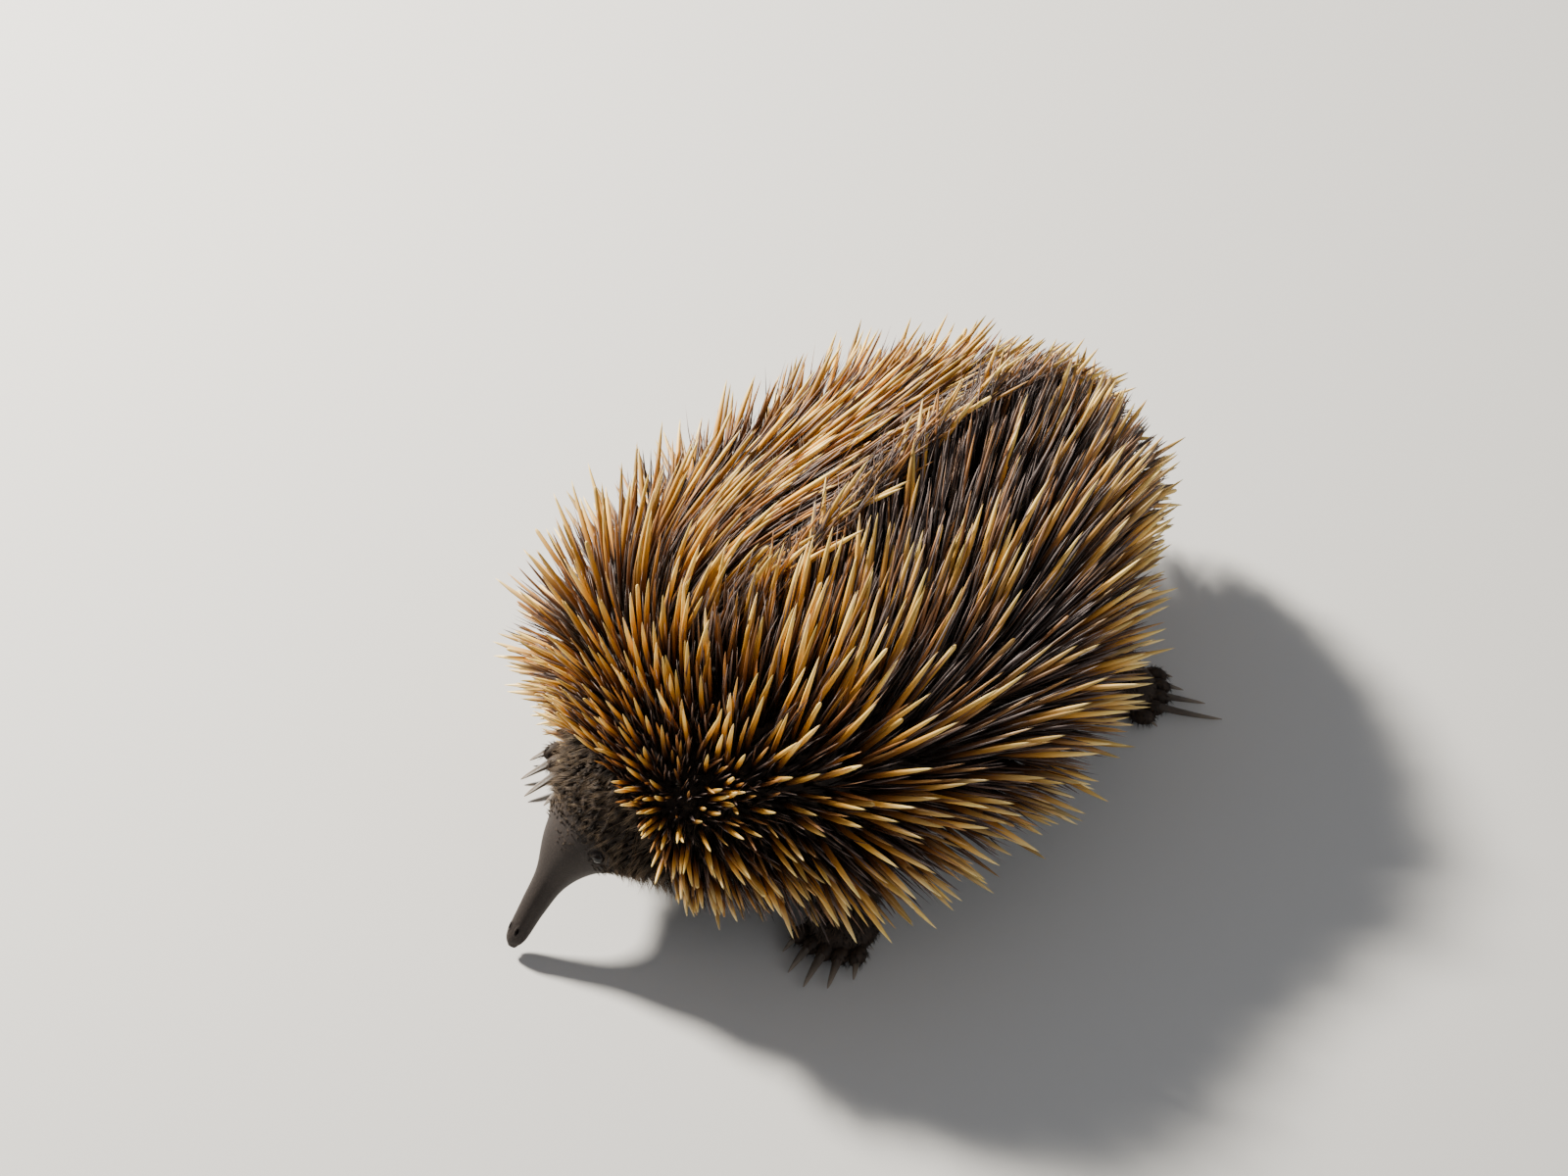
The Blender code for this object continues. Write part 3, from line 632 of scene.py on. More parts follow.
print("helpers for numbers, noise and bumps ready")

# %% [markdown]
# ## The skin's finish
#
# On the beak the skin is bare, dark and finely wrinkled, and elsewhere a dark undercoat hides it.
# Two materials with an edge between them would be simpler, but the real edge is soft and uneven.
# So one material holds both, blended at the root of the beak along a border that noise moves
# about. Pores and creases are a fraction of a millimetre deep, so bump is enough for them.

# %% The skin's material
BARE_SKIN = ((0.0, (0.012, 0.009, 0.008)), (0.55, (0.026, 0.019, 0.016)), (1.0, (0.055, 0.041, 0.034)))
UNDERCOAT = ((0.0, (0.012, 0.008, 0.006)), (0.6, (0.035, 0.022, 0.014)), (1.0, (0.07, 0.045, 0.028)))
BARE_TO = (-169.0, -157.0)


def skin_material():
    """Bare, finely wrinkled skin on the beak, dark undercoat elsewhere."""
    material, tree, shader = new_material("echidna_skin", 0.62)
    shader.inputs["Specular IOR Level"].default_value = 0.25
    where = add(tree, "ShaderNodeTexCoord").outputs["Object"]
    axes = add(tree, "ShaderNodeSeparateXYZ", Vector=where)
    wobble = maths(tree, "MULTIPLY_ADD", noise(tree, 260.0), 0.012, axes.outputs["Y"])
    furred = between(tree, wobble, *((edge + SHIFT[1] + 6) * MM for edge in BARE_TO))
    pores = noise(tree, 1500.0, 4.0)
    wrinkles = add(tree, "ShaderNodeTexVoronoi", Vector=where, Scale=900.0, feature="DISTANCE_TO_EDGE")
    colour = mix(tree, furred, ramp(tree, pores, BARE_SKIN), ramp(tree, noise(tree, 320.0), UNDERCOAT))
    tree.links.new(colour, shader.inputs["Base Color"])
    creases = maths(tree, "MINIMUM", wrinkles.outputs["Distance"], 0.12)
    bump(tree, shader, maths(tree, "MULTIPLY_ADD", pores, 0.25, creases), 0.5, 0.0006)
    return material


skin.data.materials.clear()
skin.data.materials.append(skin_material())
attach(skin, "root")
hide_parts("beak", "head", "neck", "torso_front", "torso_rear", "tail",
            *("%s_%s_%s" % (kind, part, name) for kind in ("front", "hind") for part in ("leg", "foot")
              for _, name in SIDES))

# %% [markdown]
# ## Eyes
#
# The eye is a small dark bead that hardly stands out of the head. It is a ball of the solids' own
# size and place, deep brown with a black pupil, under a clear wet surface, which is the coat of
# the shader. The pupil is stored on the ball's points as the angle from the way the eye looks. The
# eye could be a glossy patch of the skin, but a ball of its own has a clean edge under the lids.

# %% Make the eyes
def eye_material():
    material, tree, shader = new_material("echidna_eye", 0.12)
    colour = ramp(tree, value_of(tree, "pupil"), ((0.0, (0.002, 0.002, 0.002)), (0.4, (0.002, 0.002, 0.002)),
                                                (0.5, (0.016, 0.008, 0.004)), (1.0, (0.006, 0.004, 0.003))))
    tree.links.new(colour, shader.inputs["Base Color"])
    shader.inputs["Specular IOR Level"].default_value = 0.1
    shader.inputs["Coat Weight"].default_value = 0.35
    shader.inputs["Coat Roughness"].default_value = 0.04
    return material


EYE_MATERIAL = eye_material()
for side, name in SIDES:
    low, high = (np.array(corner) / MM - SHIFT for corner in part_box("eye_" + name))
    look = facing(EYE_T, side * EYE_TURN)
    eye = ball_mesh("eyeball_" + name, (low + high) / 2, (EYE_RADIUS,) * 3, look.T, 40, 28)
    points = np.array([v.co for v in eye.data.vertices]) / MM - SHIFT - (low + high) / 2
    angle = np.arccos(np.clip(points @ look[2] / EYE_RADIUS, -1, 1)) / math.radians(60)
    store(eye.data, "pupil", np.clip(angle, 0, 1))
    eye.data.shade_smooth()
    eye.data.materials.append(EYE_MATERIAL)
    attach(eye, "root")
    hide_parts("eye_" + name)
    print("eye", name, "at", ((low + high) / 2).round(1))

# %% [markdown]
# ## Claws
#
# The front claws are flat spades for digging. On the hind foot the second claw is long and curved,
# for combing between the spines. Each claw is a swept oval that thins and drops to the ground,
# with its underside flatter than its top, and it grows out of its toe's pad. Horn has streaks along
# its length and is paler and more worn towards the tip. A bent cone would do from afar, but it has
# neither the flat underside nor the worn end.

# %% The horn's material
def claw_material():
    material, tree, shader = new_material("echidna_claw", 0.38)
    along = value_of(tree, "along")
    colour = ramp(tree, along, ((0.0, (0.045, 0.032, 0.024)), (0.55, (0.10, 0.075, 0.055)),
                                (1.0, (0.30, 0.24, 0.18))))
    streaks = add(tree, "ShaderNodeTexWave", Scale=3.0, Distortion=1.0)
    across = add(tree, "ShaderNodeCombineXYZ", X=value_of(tree, "around"), Y=0.0, Z=along)
    tree.links.new(across.outputs[0], streaks.inputs["Vector"])
    tree.links.new(mix(tree, 0.25, colour, streaks.outputs["Color"], "MULTIPLY"), shader.inputs["Base Color"])
    bump(tree, shader, streaks.outputs["Fac"], 0.4, 0.0003)
    return material


CLAW_MATERIAL = claw_material()
print("horn material has", len(CLAW_MATERIAL.node_tree.nodes), "nodes")

# %% Rings of one claw
CLAW_SIDES, CLAW_RINGS = 16, 18


def claw_points(kind, side, number):
    """Rings of one claw from its root to its worn end."""
    length, half_width, half_height, curl = CLAWS[kind][number - 1]
    centre = np.array(FOOT_PLACES[kind], float) * (side, 1, 1)
    axes = heading_axes(kind, side)
    place, heading = toe_root(kind, side, number)
    stride = (length + CLAW_ROOTED) / (CLAW_RINGS - 1)
    drop = (centre[2] - CLAW_TIP_HEIGHT) / (CLAW_RINGS - 1) ** 2
    rings = []
    for i in range(CLAW_RINGS):
        share = i / (CLAW_RINGS - 1)
        thin = (1 - CLAW_TAPER * share ** 1.6) * math.sqrt(1 - 0.82 * smooth(0.9, 1.0, share))
        way = np.array((math.sin(heading), -math.cos(heading), 0.0))
        side_way = np.array((math.cos(heading), math.sin(heading), 0.0))
        angle = np.arange(CLAW_SIDES) * math.tau / CLAW_SIDES
        up = np.where(np.sin(angle) > 0, 1.0, 0.55) * np.sin(angle) * half_height * thin
        out = np.cos(angle) * half_width * thin
        oval = side_way * out[:, None] + np.array((0, 0, 1.0)) * up[:, None]
        rings.append(centre + (place + oval) @ axes.T)
        place = place + way * stride + (0, 0, -drop * (2 * i + 1))
        heading += side * math.radians(curl) / (CLAW_RINGS - 1)
    return np.vstack(rings)


print("each claw has", CLAW_SIDES * CLAW_RINGS, "points")

# %% Make the claws
for kind in ("front", "hind"):
    for side, name in SIDES:
        points = np.vstack([claw_points(kind, side, number) for number in range(1, 6)])
        step = CLAW_SIDES * CLAW_RINGS
        faces = [[i + n * step for i in face]
                 for n in range(5) for face in ring_faces(CLAW_RINGS, CLAW_SIDES)]
        claws = closed_mesh("%s_claws_%s" % (kind, name), points, faces)
        along = np.tile(np.repeat(np.arange(CLAW_RINGS) / (CLAW_RINGS - 1), CLAW_SIDES), 5)
        around = np.tile(np.arange(CLAW_SIDES) / CLAW_SIDES * 4, 5 * CLAW_RINGS)
        store(claws.data, "along", along)
        store(claws.data, "around", around)
        claws.data.shade_smooth()
        claws.data.materials.append(CLAW_MATERIAL)
        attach(claws, "root")
        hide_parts(*("%s_claw_%s_%d" % (kind, name, number) for number in range(1, 6)))
        print(claws.name, len(claws.data.polygons), "faces")

# %% [markdown]
# ## How a coat is planted
#
# Spines, bristles and tufts are all planted the same way. A cloud of root points carries the way
# each one points, its size, its bend and its colours. One node tree then puts a small shape on
# every root, turns and stretches it, bends it, and makes everything real mesh. It also writes
# the map `OFBake`, in which each spine or tuft is a tiny patch at the place of its root on the
# unrolled skin, so that a colour baked for it stays its own.
#
# Hair curves are Blender's usual way to a coat and are lighter, but they have no faces, and every
# hair of this model is kept as mesh. So each shape has only a few dozen faces.

# %% Sweep a closed shape along one strand or several
def shape_object(name, strands, sides):
    """A closed shape of one or more strands, each a list of (centre, radius) up to its point."""
    points, faces, along, side = [], [], [], []
    for strand in strands:
        first = len(points)
        for centre, radius in strand[:-1]:
            for i in range(sides):
                angle = math.tau * i / sides
                points.append((centre[0] + radius * math.cos(angle),
                               centre[1] + radius * math.sin(angle), centre[2]))
                along.append(centre[2])
                side.append(0.5 + 0.5 * math.cos(angle))
        points.append(strand[-1][0])
        along.append(strand[-1][0][2])
        side.append(0.5)
        rows = len(strand) - 1
        for row in range(rows - 1):
            for i in range(sides):
                a, b = first + row * sides + i, first + row * sides + (i + 1) % sides
                faces.append((a, b, b + sides, a + sides))
        tip, last = len(points) - 1, first + (rows - 1) * sides
        faces += [(last + i, last + (i + 1) % sides, tip) for i in range(sides)]
        faces.append(tuple(first + i for i in reversed(range(sides))))
    mesh = bpy.data.meshes.new(name)
    mesh.from_pydata(points, [], faces)
    store(mesh, "along", along)
    store(mesh, "side", side)
    mesh.shade_smooth()
    return bpy.data.objects.new(name, mesh)


print("strands are swept in rings of 3, 4 or 7 points")

# %% Outlines, one unit long and one unit in half width
SPINE_PROFILE = ((0.0, 0.55), (0.06, 0.8), (0.3, 1.0), (0.62, 0.93), (0.82, 0.66), (0.94, 0.32))
BLUNT_PROFILE = ((0.0, 0.6), (0.08, 0.85), (0.3, 1.0), (0.62, 0.88), (0.86, 0.72), (0.885, 0.5))


def straight(profile, tip):
    return [((0, 0, z), r) for z, r in profile] + [((0, 0, tip), 0)]


def tuft(count, seed):
    """Strands from one root that part towards their tips."""
    random = np.random.default_rng(seed)
    strands = []
    for i in range(count):
        angle = math.tau * (i + random.uniform(0, 0.6)) / count
        reach, tall = random.uniform(0.5, 1.5), random.uniform(0.72, 1.0)
        away = np.array((math.cos(angle), math.sin(angle), 0.0))
        strands.append([(away * (0.35 + reach * s ** 1.5) + (0, 0, tall * s), r)
                        for s, r in ((0.0, 0.3), (0.45, 0.26), (1.0, 0.0))])
    return strands


print("a whole spine has", len(SPINE_PROFILE), "rings, a broken one", len(BLUNT_PROFILE))

# %% Gather the shapes in collections
def shape_group(name, objects):
    group = bpy.data.collections.new(name)
    bpy.context.scene.collection.children.link(group)
    for obj in objects:
        group.objects.link(obj)
    return group


SHAPES = {
    "spine": shape_group("spine_shapes", [shape_object("spine_0", [straight(SPINE_PROFILE, 1.0)], 7),
                                          shape_object("spine_1", [straight(BLUNT_PROFILE, 0.9)], 7)]),
    "bristle": shape_group("bristle_shapes", [shape_object("bristle_0", [straight(
        ((0.0, 0.8), (0.4, 1.0), (0.75, 0.6)), 1.0)], 4)]),
    "tuft": shape_group("tuft_shapes", [shape_object("tuft_%d" % i, tuft(5, 40 + i), 3) for i in range(4)])}
TRIANGLES, PIECE_LIMIT = {"spine": 90, "bristle": 22, "tuft": 50}, 190000

# %% What the planting tree is given
VECTORS, NUMBERS = ("way", "out", "bend", "size", "root_uv"), ("tone", "shade", "pale")
PLANT, SOCKETS = bpy.data.node_groups.new("plant_coat", "GeometryNodeTree"), {}
for name, kind, default in (
        ("Roots", "Geometry", None), ("Shapes", "Collection", None), ("Thickness", "Float", 1.0),
        ("Bend", "Float", 1.0), ("Patch", "Float", 0.003), ("Finish", "Material", None)):
    socket = PLANT.interface.new_socket(name, in_out="INPUT", socket_type="NodeSocket" + kind)
    if default is not None:
        socket.default_value = default
    SOCKETS[name] = socket.identifier
PLANT.interface.new_socket("Coat", in_out="OUTPUT", socket_type="NodeSocketGeometry")
GIVEN = add(PLANT, "NodeGroupInput").outputs
print("the planting tree is given", ", ".join(SOCKETS))

# %% Put a shape on every root
def stored(name, kind="FLOAT_VECTOR"):
    """What a root or a point carries under that name."""
    return add(PLANT, "GeometryNodeInputNamedAttribute", data_type=kind, Name=name).outputs["Attribute"]


def shapes_on_roots():
    """Turns each shape the way its root points, stretches it, and makes it real mesh."""
    turned = add(PLANT, "FunctionNodeAlignRotationToVector", axis="Z", Vector=stored("way"))
    rolled = add(PLANT, "FunctionNodeAlignRotationToVector", axis="Y", pivot_axis="Z", Vector=stored("out"),
                 Rotation=turned.outputs[0])
    wide = add(PLANT, "ShaderNodeCombineXYZ", X=GIVEN["Thickness"], Y=GIVEN["Thickness"], Z=1.0)
    scaled = add(PLANT, "ShaderNodeVectorMath", operation="MULTIPLY", i0=stored("size"), i1=wide.outputs[0])
    shapes = add(PLANT, "GeometryNodeCollectionInfo", Collection=GIVEN["Shapes"])
    shapes.inputs["Separate Children"].default_value = True
    shapes.inputs["Reset Children"].default_value = True
    placed = add(PLANT, "GeometryNodeInstanceOnPoints", Points=GIVEN["Roots"], Instance=shapes.outputs[0],
                 Rotation=rolled.outputs[0], Scale=scaled.outputs[0])
    placed.inputs["Pick Instance"].default_value = True
    PLANT.links.new(stored("pick", "INT"), placed.inputs["Instance Index"])
    return add(PLANT, "GeometryNodeRealizeInstances", Geometry=placed.outputs[0]).outputs[0]


STRAIGHT = shapes_on_roots()
print("planting tree has", len(PLANT.nodes), "nodes so far")

# %% Bend the shapes and lay them on the map
ALONG, SIDE = stored("along", "FLOAT"), stored("side", "FLOAT")


def bent(shapes):
    """Bends each shape, more and more towards its tip."""
    amount = maths(PLANT, "MULTIPLY", maths(PLANT, "POWER", ALONG, 2.0), GIVEN["Bend"])
    offset = add(PLANT, "ShaderNodeVectorMath", operation="SCALE", i0=stored("bend"), Scale=amount)
    return add(PLANT, "GeometryNodeSetPosition", Geometry=shapes, Offset=offset.outputs[0]).outputs[0]


def mapped(shapes):
    """Gives each shape its small patch of the map, at the place of its root."""
    root = add(PLANT, "ShaderNodeSeparateXYZ", Vector=stored("root_uv")).outputs
    right = maths(PLANT, "MULTIPLY_ADD", SIDE, GIVEN["Patch"], root["X"])
    up = maths(PLANT, "MULTIPLY_ADD", ALONG, GIVEN["Patch"], root["Y"])
    patch = add(PLANT, "ShaderNodeCombineXYZ", X=right, Y=up)
    node = add(PLANT, "GeometryNodeStoreNamedAttribute", data_type="FLOAT2", domain="CORNER",
               Geometry=shapes, Name="OFBake")
    PLANT.links.new(patch.outputs[0], next(s for s in node.inputs if s.name == "Value" and s.enabled))
    return node.outputs[0]


COAT = mapped(bent(STRAIGHT))
print("planting tree has", len(PLANT.nodes), "nodes so far")

# %% Drop what only the tree needed, and give the finish
for name in (*VECTORS, "pick", "side"):
    COAT = add(PLANT, "GeometryNodeRemoveAttribute", Geometry=COAT, Name=name).outputs[0]
COAT = add(PLANT, "GeometryNodeSetMaterial", Geometry=COAT, Material=GIVEN["Finish"]).outputs[0]
PLANT.links.new(COAT, add(PLANT, "NodeGroupOutput").inputs[0])
print("planting tree has", len(PLANT.nodes), "nodes")

# %% Grow a coat in pieces of limited size
def plant(name, shape, coat, finish):
    """Grows pieces of coat from root points, each under the limit of triangles for one piece."""
    per_piece = PIECE_LIMIT // TRIANGLES[shape]
    pieces = max(1, math.ceil(len(coat["place"]) / per_piece))
    order = np.argsort(coat["place"][:, 1])
    total = 0
    for number, part in enumerate(np.array_split(order, pieces), start=1):
        mesh = bpy.data.meshes.new("roots")
        mesh.vertices.add(len(part))
        mesh.vertices.foreach_set("co", ((coat["place"][part] + SHIFT) * MM).ravel())
        for key in VECTORS:
            values = mesh.attributes.new(key, "FLOAT_VECTOR", "POINT")
            values.data.foreach_set("vector", coat[key][part].ravel())
        for key in NUMBERS:
            store(mesh, key, coat[key][part])
        mesh.attributes.new("pick", "INT", "POINT").data.foreach_set("value", coat["pick"][part])
        roots = in_scene("roots", mesh)
        modifier = roots.modifiers.new("plant", "NODES")
        modifier.node_group = PLANT
        modifier[SOCKETS["Shapes"]] = SHAPES[shape]
        modifier[SOCKETS["Finish"]] = finish
        grown = bpy.data.meshes.new_from_object(roots.evaluated_get(bpy.context.evaluated_depsgraph_get()))
        bpy.data.objects.remove(roots)
        bpy.data.meshes.remove(mesh)
        piece = in_scene("%s_%d" % (name, number), grown)
        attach(piece, "root")
        total += sum(len(p.vertices) - 2 for p in grown.polygons)
    print(name, len(coat["place"]), "roots,", total, "triangles in", pieces, "pieces")


print("at most", {shape: PIECE_LIMIT // count for shape, count in TRIANGLES.items()}, "in one piece")

# %% [markdown]
# ## Where roots may stand
#
# Real spines stand about as far apart as they are thick, but never exactly in rows. Points are
# tried at random and kept only where no earlier one is nearer than the wanted distance, which
# gives the even but irregular spread that pores in skin have. A node can keep points apart too.
# Here the wanted distance changes from face to back and foot, and every root has to know its `t`
# and `turn`, so the places are worked out before the node tree sees them.

# %% Spread roots evenly
def keep_apart(points, apart):
    """Indices of the points kept, so that no two are nearer than their wanted distance."""
    cell = float(np.max(apart))
    grid, kept = {}, []
    cells = np.floor(points / cell).astype(int)
    neighbours = [(i, j, k) for i in (-1, 0, 1) for j in (-1, 0, 1) for k in (-1, 0, 1)]
    for index, (point, key, limit) in enumerate(zip(points.tolist(), cells.tolist(), (apart ** 2).tolist())):
        free = True
        for i, j, k in neighbours:
            for x, y, z in grid.get((key[0] + i, key[1] + j, key[2] + k), ()):
                if (x - point[0]) ** 2 + (y - point[1]) ** 2 + (z - point[2]) ** 2 < limit:
                    free = False
                    break
            if not free:
                break
        if free:
            grid.setdefault(tuple(key), []).append(point)
            kept.append(index)
    return np.array(kept)


line = np.arange(100.0)[:, None] * (1, 0, 0)
print("of 100 places 1 mm apart,", len(keep_apart(line, np.full(100, 3.5))), "are kept at 3.5 mm")

# %% Unroll the trunk
FINE = np.linspace(0, LAST, 801)
STEPS = np.linalg.norm(np.diff(spline(BODY, FINE)[:, :3], axis=0), axis=1)
LENGTH_TO = np.concatenate(([0.0], np.cumsum(STEPS)))


def trunk_uv(t, turn):
    """Places on the unrolled trunk: round it from left to right, and along it."""
    run = np.interp(t, FINE, LENGTH_TO / LENGTH_TO[-1])
    return np.stack((0.01 + 0.64 * (turn / math.tau + 0.5), 0.01 + 0.97 * run, np.zeros(len(t))), axis=-1)


print("body is", round(LENGTH_TO[-1]), "mm along its middle")

# %% Keep spines out of the skin
SKIN_TREE = tree_of([skin])


def clear_of_skin(paths, gap):
    """Whether each path, a row of places from above the root to the tip, stays clear of the skin."""
    result = np.ones(len(paths), bool)
    for index, path in enumerate((paths + SHIFT) * MM):
        result[index] = all(SKIN_TREE.find_nearest(place, gap * MM)[0] is None for place in path.tolist())
    return result


above = np.array([[[0, 0, 250.0]]])
print("a place 250 mm up is clear of the skin:", bool(clear_of_skin(above, 1.0)[0]))

# %% [markdown]
# ## Spines
#
# A spine is a hair that has grown into a stiff hollow rod with a sharp end. The longest, between 5
# and 6 cm, stand on the back. At the front they fan outwards and forwards like a ruff, further back
# they lean to the tail and meet over the midline in a seam, and on the rear flank they rise again.
# Stout golden, middling brown and thin dark ones stand mixed, and a few old ones have broken ends.
# On the flanks the tips are painted cream as a painted highlight of light catching them, and the spines below
# the tips are darkened as painted shade.
#
# The lie is one rule for the whole animal: the way straight out of the skin, plus a lean to the
# tail, a lean over the midline and a lift, each of which fades in and out along and round the body.
# The same rule planted the coarser spines of the solids, so both have one outline.

# %% Length and lie of the spines
NAPE_SPINE, BACK_SPINE, TAIL_SPINE, LOW_SHORTER = 21, 46, 30, 0.12
RUFF, TAPER, SWEEP, TAILWARDS = (-140, -92), (40, 140), (-125, -30), (80, 145)
SEAM_EDGE, LOW_EDGE, FLANK_EDGE, SHOULDER_EDGE, SPINE_EDGE = (0, 9), (50, 98), (72, 112), (40, 88), 114
LOW_UPRIGHT, FLANK_TURNS, RAISED_EDGE, FRINGE_EDGE = (0.78, 0.2), (-30, 60), (35, 75), (85, 112)
LEAN_START, LEAN_BACK, LEAN_OVER, LEAN_OUT, LEAN_UP = 0.2, 1.15, 1.1, 0.35, 1.1
FRINGE_LOWER, TAIL_RAISED = 0.75, 0.55


def spine_length(t, turn):
    along, low = spline(BODY, t)[..., 1], smooth(*FLANK_EDGE, np.abs(np.degrees(turn)))
    full = NAPE_SPINE + (BACK_SPINE - NAPE_SPINE) * smooth(*RUFF, along)
    return (full - (BACK_SPINE - TAIL_SPINE) * smooth(*TAPER, along)) * (1 - LOW_SHORTER * low)


def spine_way(t, turn):
    along, (back, left, up) = spline(BODY, t)[..., 1], axes_at(t)
    angle, swept = np.abs(np.degrees(turn)), smooth(*SWEEP, along)
    rear, ends = smooth(*FLANK_TURNS, along), smooth(*TAILWARDS, along)
    low, high = smooth(*LOW_EDGE, angle), smooth(*SEAM_EDGE, angle) * (1 - smooth(*SHOULDER_EDGE, angle))
    upright = LOW_UPRIGHT[0] + (LOW_UPRIGHT[1] - LOW_UPRIGHT[0]) * rear
    lean_back = (LEAN_START + LEAN_BACK * swept) * (1 - upright * low) * (1 - TAIL_RAISED * ends)
    lean_in = LEAN_OVER * swept * high - LEAN_OUT * low * (1 - rear)
    raised = smooth(*RAISED_EDGE, angle) * (1 - FRINGE_LOWER * smooth(*FRINGE_EDGE, angle))
    lean_up = LEAN_UP * rear * (1 - ends) * raised
    return unit(body_normal(t, turn) + back * lean_back[:, None] + up * lean_up[:, None]
                - np.copysign(1, turn)[:, None] * left * lean_in[:, None])


full_lengths = spine_length(np.array((6.2, 10.0, 15.5)), np.zeros(3))
print("full length at nape, back and tail:", full_lengths.round(), "mm")

# %% Roots that keep their distance and lean like their neighbours
TIP_ABOVE_FLOOR, CLEAR_OF_SKIN, ROOT_SUNK, TRIED = 5.0, 1.2, 1.5, 60000


def drift(points, size, seed):
    """Slow random change over the skin, so that neighbours lean alike."""
    random = np.random.default_rng(seed)
    waves = random.normal(0, 1 / size, (5, 3))
    phase = random.uniform(0, math.tau, (5, 3))
    return sum(np.sin(points @ wave[:, None] + ph) for wave, ph in zip(waves, phase)) / 3


def spiny_roots(count, spacing, seed):
    random = np.random.default_rng(seed)
    t, turn = random.uniform(5.95, LAST, count), np.radians(random.uniform(-SPINE_EDGE, SPINE_EDGE, count))
    apart = spacing * (0.72 + 0.28 * smooth(*RUFF, spline(BODY, t)[:, 1]))
    kept = keep_apart(body_at(t, turn), apart)
    return t[kept], turn[kept], random


def grown(t, turn, random, length, half_width, scatter, tone, pick, tip_highlight=0.0, bend=0.07):
    """The coat's root points for spines of given lengths and half widths."""
    root = body_at(t, turn, -fur_depth(t) - ROOT_SUNK)
    lean = drift(root, 26, 5) * 0.07 + random.normal(0, scatter, root.shape)
    way = unit(spine_way(t, turn) + lean)
    curve = (axes_at(t)[0] * bend + random.normal(0, 0.025, root.shape)) * length[:, None]
    share = np.linspace(0.35, 1.0, 5)[None, :, None]
    paths = root[:, None] + way[:, None] * (length[:, None, None] * share) + curve[:, None] * share ** 2
    fits = (paths[:, -1, 2] > TIP_ABOVE_FLOOR) & clear_of_skin(paths, CLEAR_OF_SKIN)
    coat = {"place": root, "way": way, "out": body_normal(t, turn), "bend": curve * MM,
            "size": np.stack((half_width, half_width, length), axis=-1) * MM,
            "root_uv": trunk_uv(t, turn), "tone": tone, "shade": random.uniform(0, 1, len(t)), "pick": pick,
            # pale: on the flanks, how much painted highlight a spine gets at its tip and painted shade below
            # it
            "pale": smooth(50, 90, np.abs(np.degrees(turn))) * random.uniform(0.2, 0.9, len(t)) * tip_highlight}
    return {key: values[fits] for key, values in coat.items()}


print(TRIED, "places are tried, and tips stay", TIP_ABOVE_FLOOR, "mm above the floor")

# %% The spines' material
def spine_material():
    """Dark at the root, brown to golden in the middle, pale at the tip, glossy all along."""
    material, tree, shader = new_material("echidna_spine", 0.42)
    along, tone, shade, pale = (value_of(tree, name) for name in ("along", "tone", "shade", "pale"))
    # shade gives each spine a random brightness: partly its own tone, partly painted light and shade, lit
    # spines beside shaded ones
    shifted = maths(tree, "MULTIPLY_ADD", shade, 0.16, -0.08)
    # on the flanks pale slides the colours up each spine, so its lower part is darker as painted shade
    place = maths(tree, "ADD", maths(tree, "MULTIPLY_ADD", pale, -0.26, along), shifted)
    # the dark lower parts of these ramps are partly the spines' own colour and partly painted shade between
    # the spines
    golden = ramp(tree, place, ((0.0, (0.014, 0.009, 0.006)), (0.2, (0.05, 0.022, 0.009)),
                                (0.42, (0.33, 0.125, 0.02)), (0.66, (0.78, 0.39, 0.052)),
                                (0.88, (0.96, 0.67, 0.17)), (1.0, (0.87, 0.59, 0.23))))
    brown = ramp(tree, place, ((0.0, (0.012, 0.008, 0.006)), (0.34, (0.045, 0.02, 0.009)),
                               (0.64, (0.21, 0.077, 0.017)), (0.88, (0.46, 0.20, 0.046)),
                               (1.0, (0.36, 0.16, 0.058))))
    # the greyish tip of the thin dark spines is partly their own colour and partly a painted sheen
    dark = ramp(tree, place, ((0.0, (0.008, 0.006, 0.005)), (0.5, (0.03, 0.021, 0.018)),
                              (0.8, (0.13, 0.095, 0.085)), (1.0, (0.27, 0.21, 0.19))))
    thin_or_middling = mix(tree, between(tree, tone, 0.2, 0.6), dark, brown)
    colour = mix(tree, between(tree, tone, 0.6, 0.95), thin_or_middling, golden)
    # painted highlight: the flank tips are painted cream, as where light catches them
    tip_highlighted = maths(tree, "MULTIPLY", between(tree, along, 0.58, 0.95), pale)
    colour = mix(tree, tip_highlighted, colour, (1.0, 0.81, 0.39))
    strength = maths(tree, "MULTIPLY_ADD", shade, 0.9, 0.44)
    colour = add(tree, "ShaderNodeHueSaturation", Color=colour, Value=strength).outputs[0]
    tree.links.new(colour, shader.inputs["Base Color"])
    shader.inputs["Specular IOR Level"].default_value = 0.3
    return material


SPINE_MATERIAL = spine_material()
print("spine material has", len(SPINE_MATERIAL.node_tree.nodes), "nodes")

# %% [markdown]
# The three kinds are not mixed alike all over. Thin dark spines are commonest beside the seam, and stout
# golden ones are commonest on the neck and shoulders. On the left of the back there are more thin dark spines
# and darker tones as painted shade, because that side faces away from the main light. `stout` and `thin` are
# the shares of those two kinds at each root, and the rest are middling. Painting the kinds on by hand would
# follow one picture, while shares hold for any draw of roots.

# %% Share out the three kinds
KINDS = np.array((  # length, half width, tone, how far the tips take the painted highlight
    (1.09, 1.52, 0.97, 1.0), (0.96, 0.97, 0.6, 0.45), (0.9, 0.62, 0.14, 0.0)))
SPINE_SPACING, SPINE_SCATTER, SPINE_SEED = 3.85, 0.075, 31

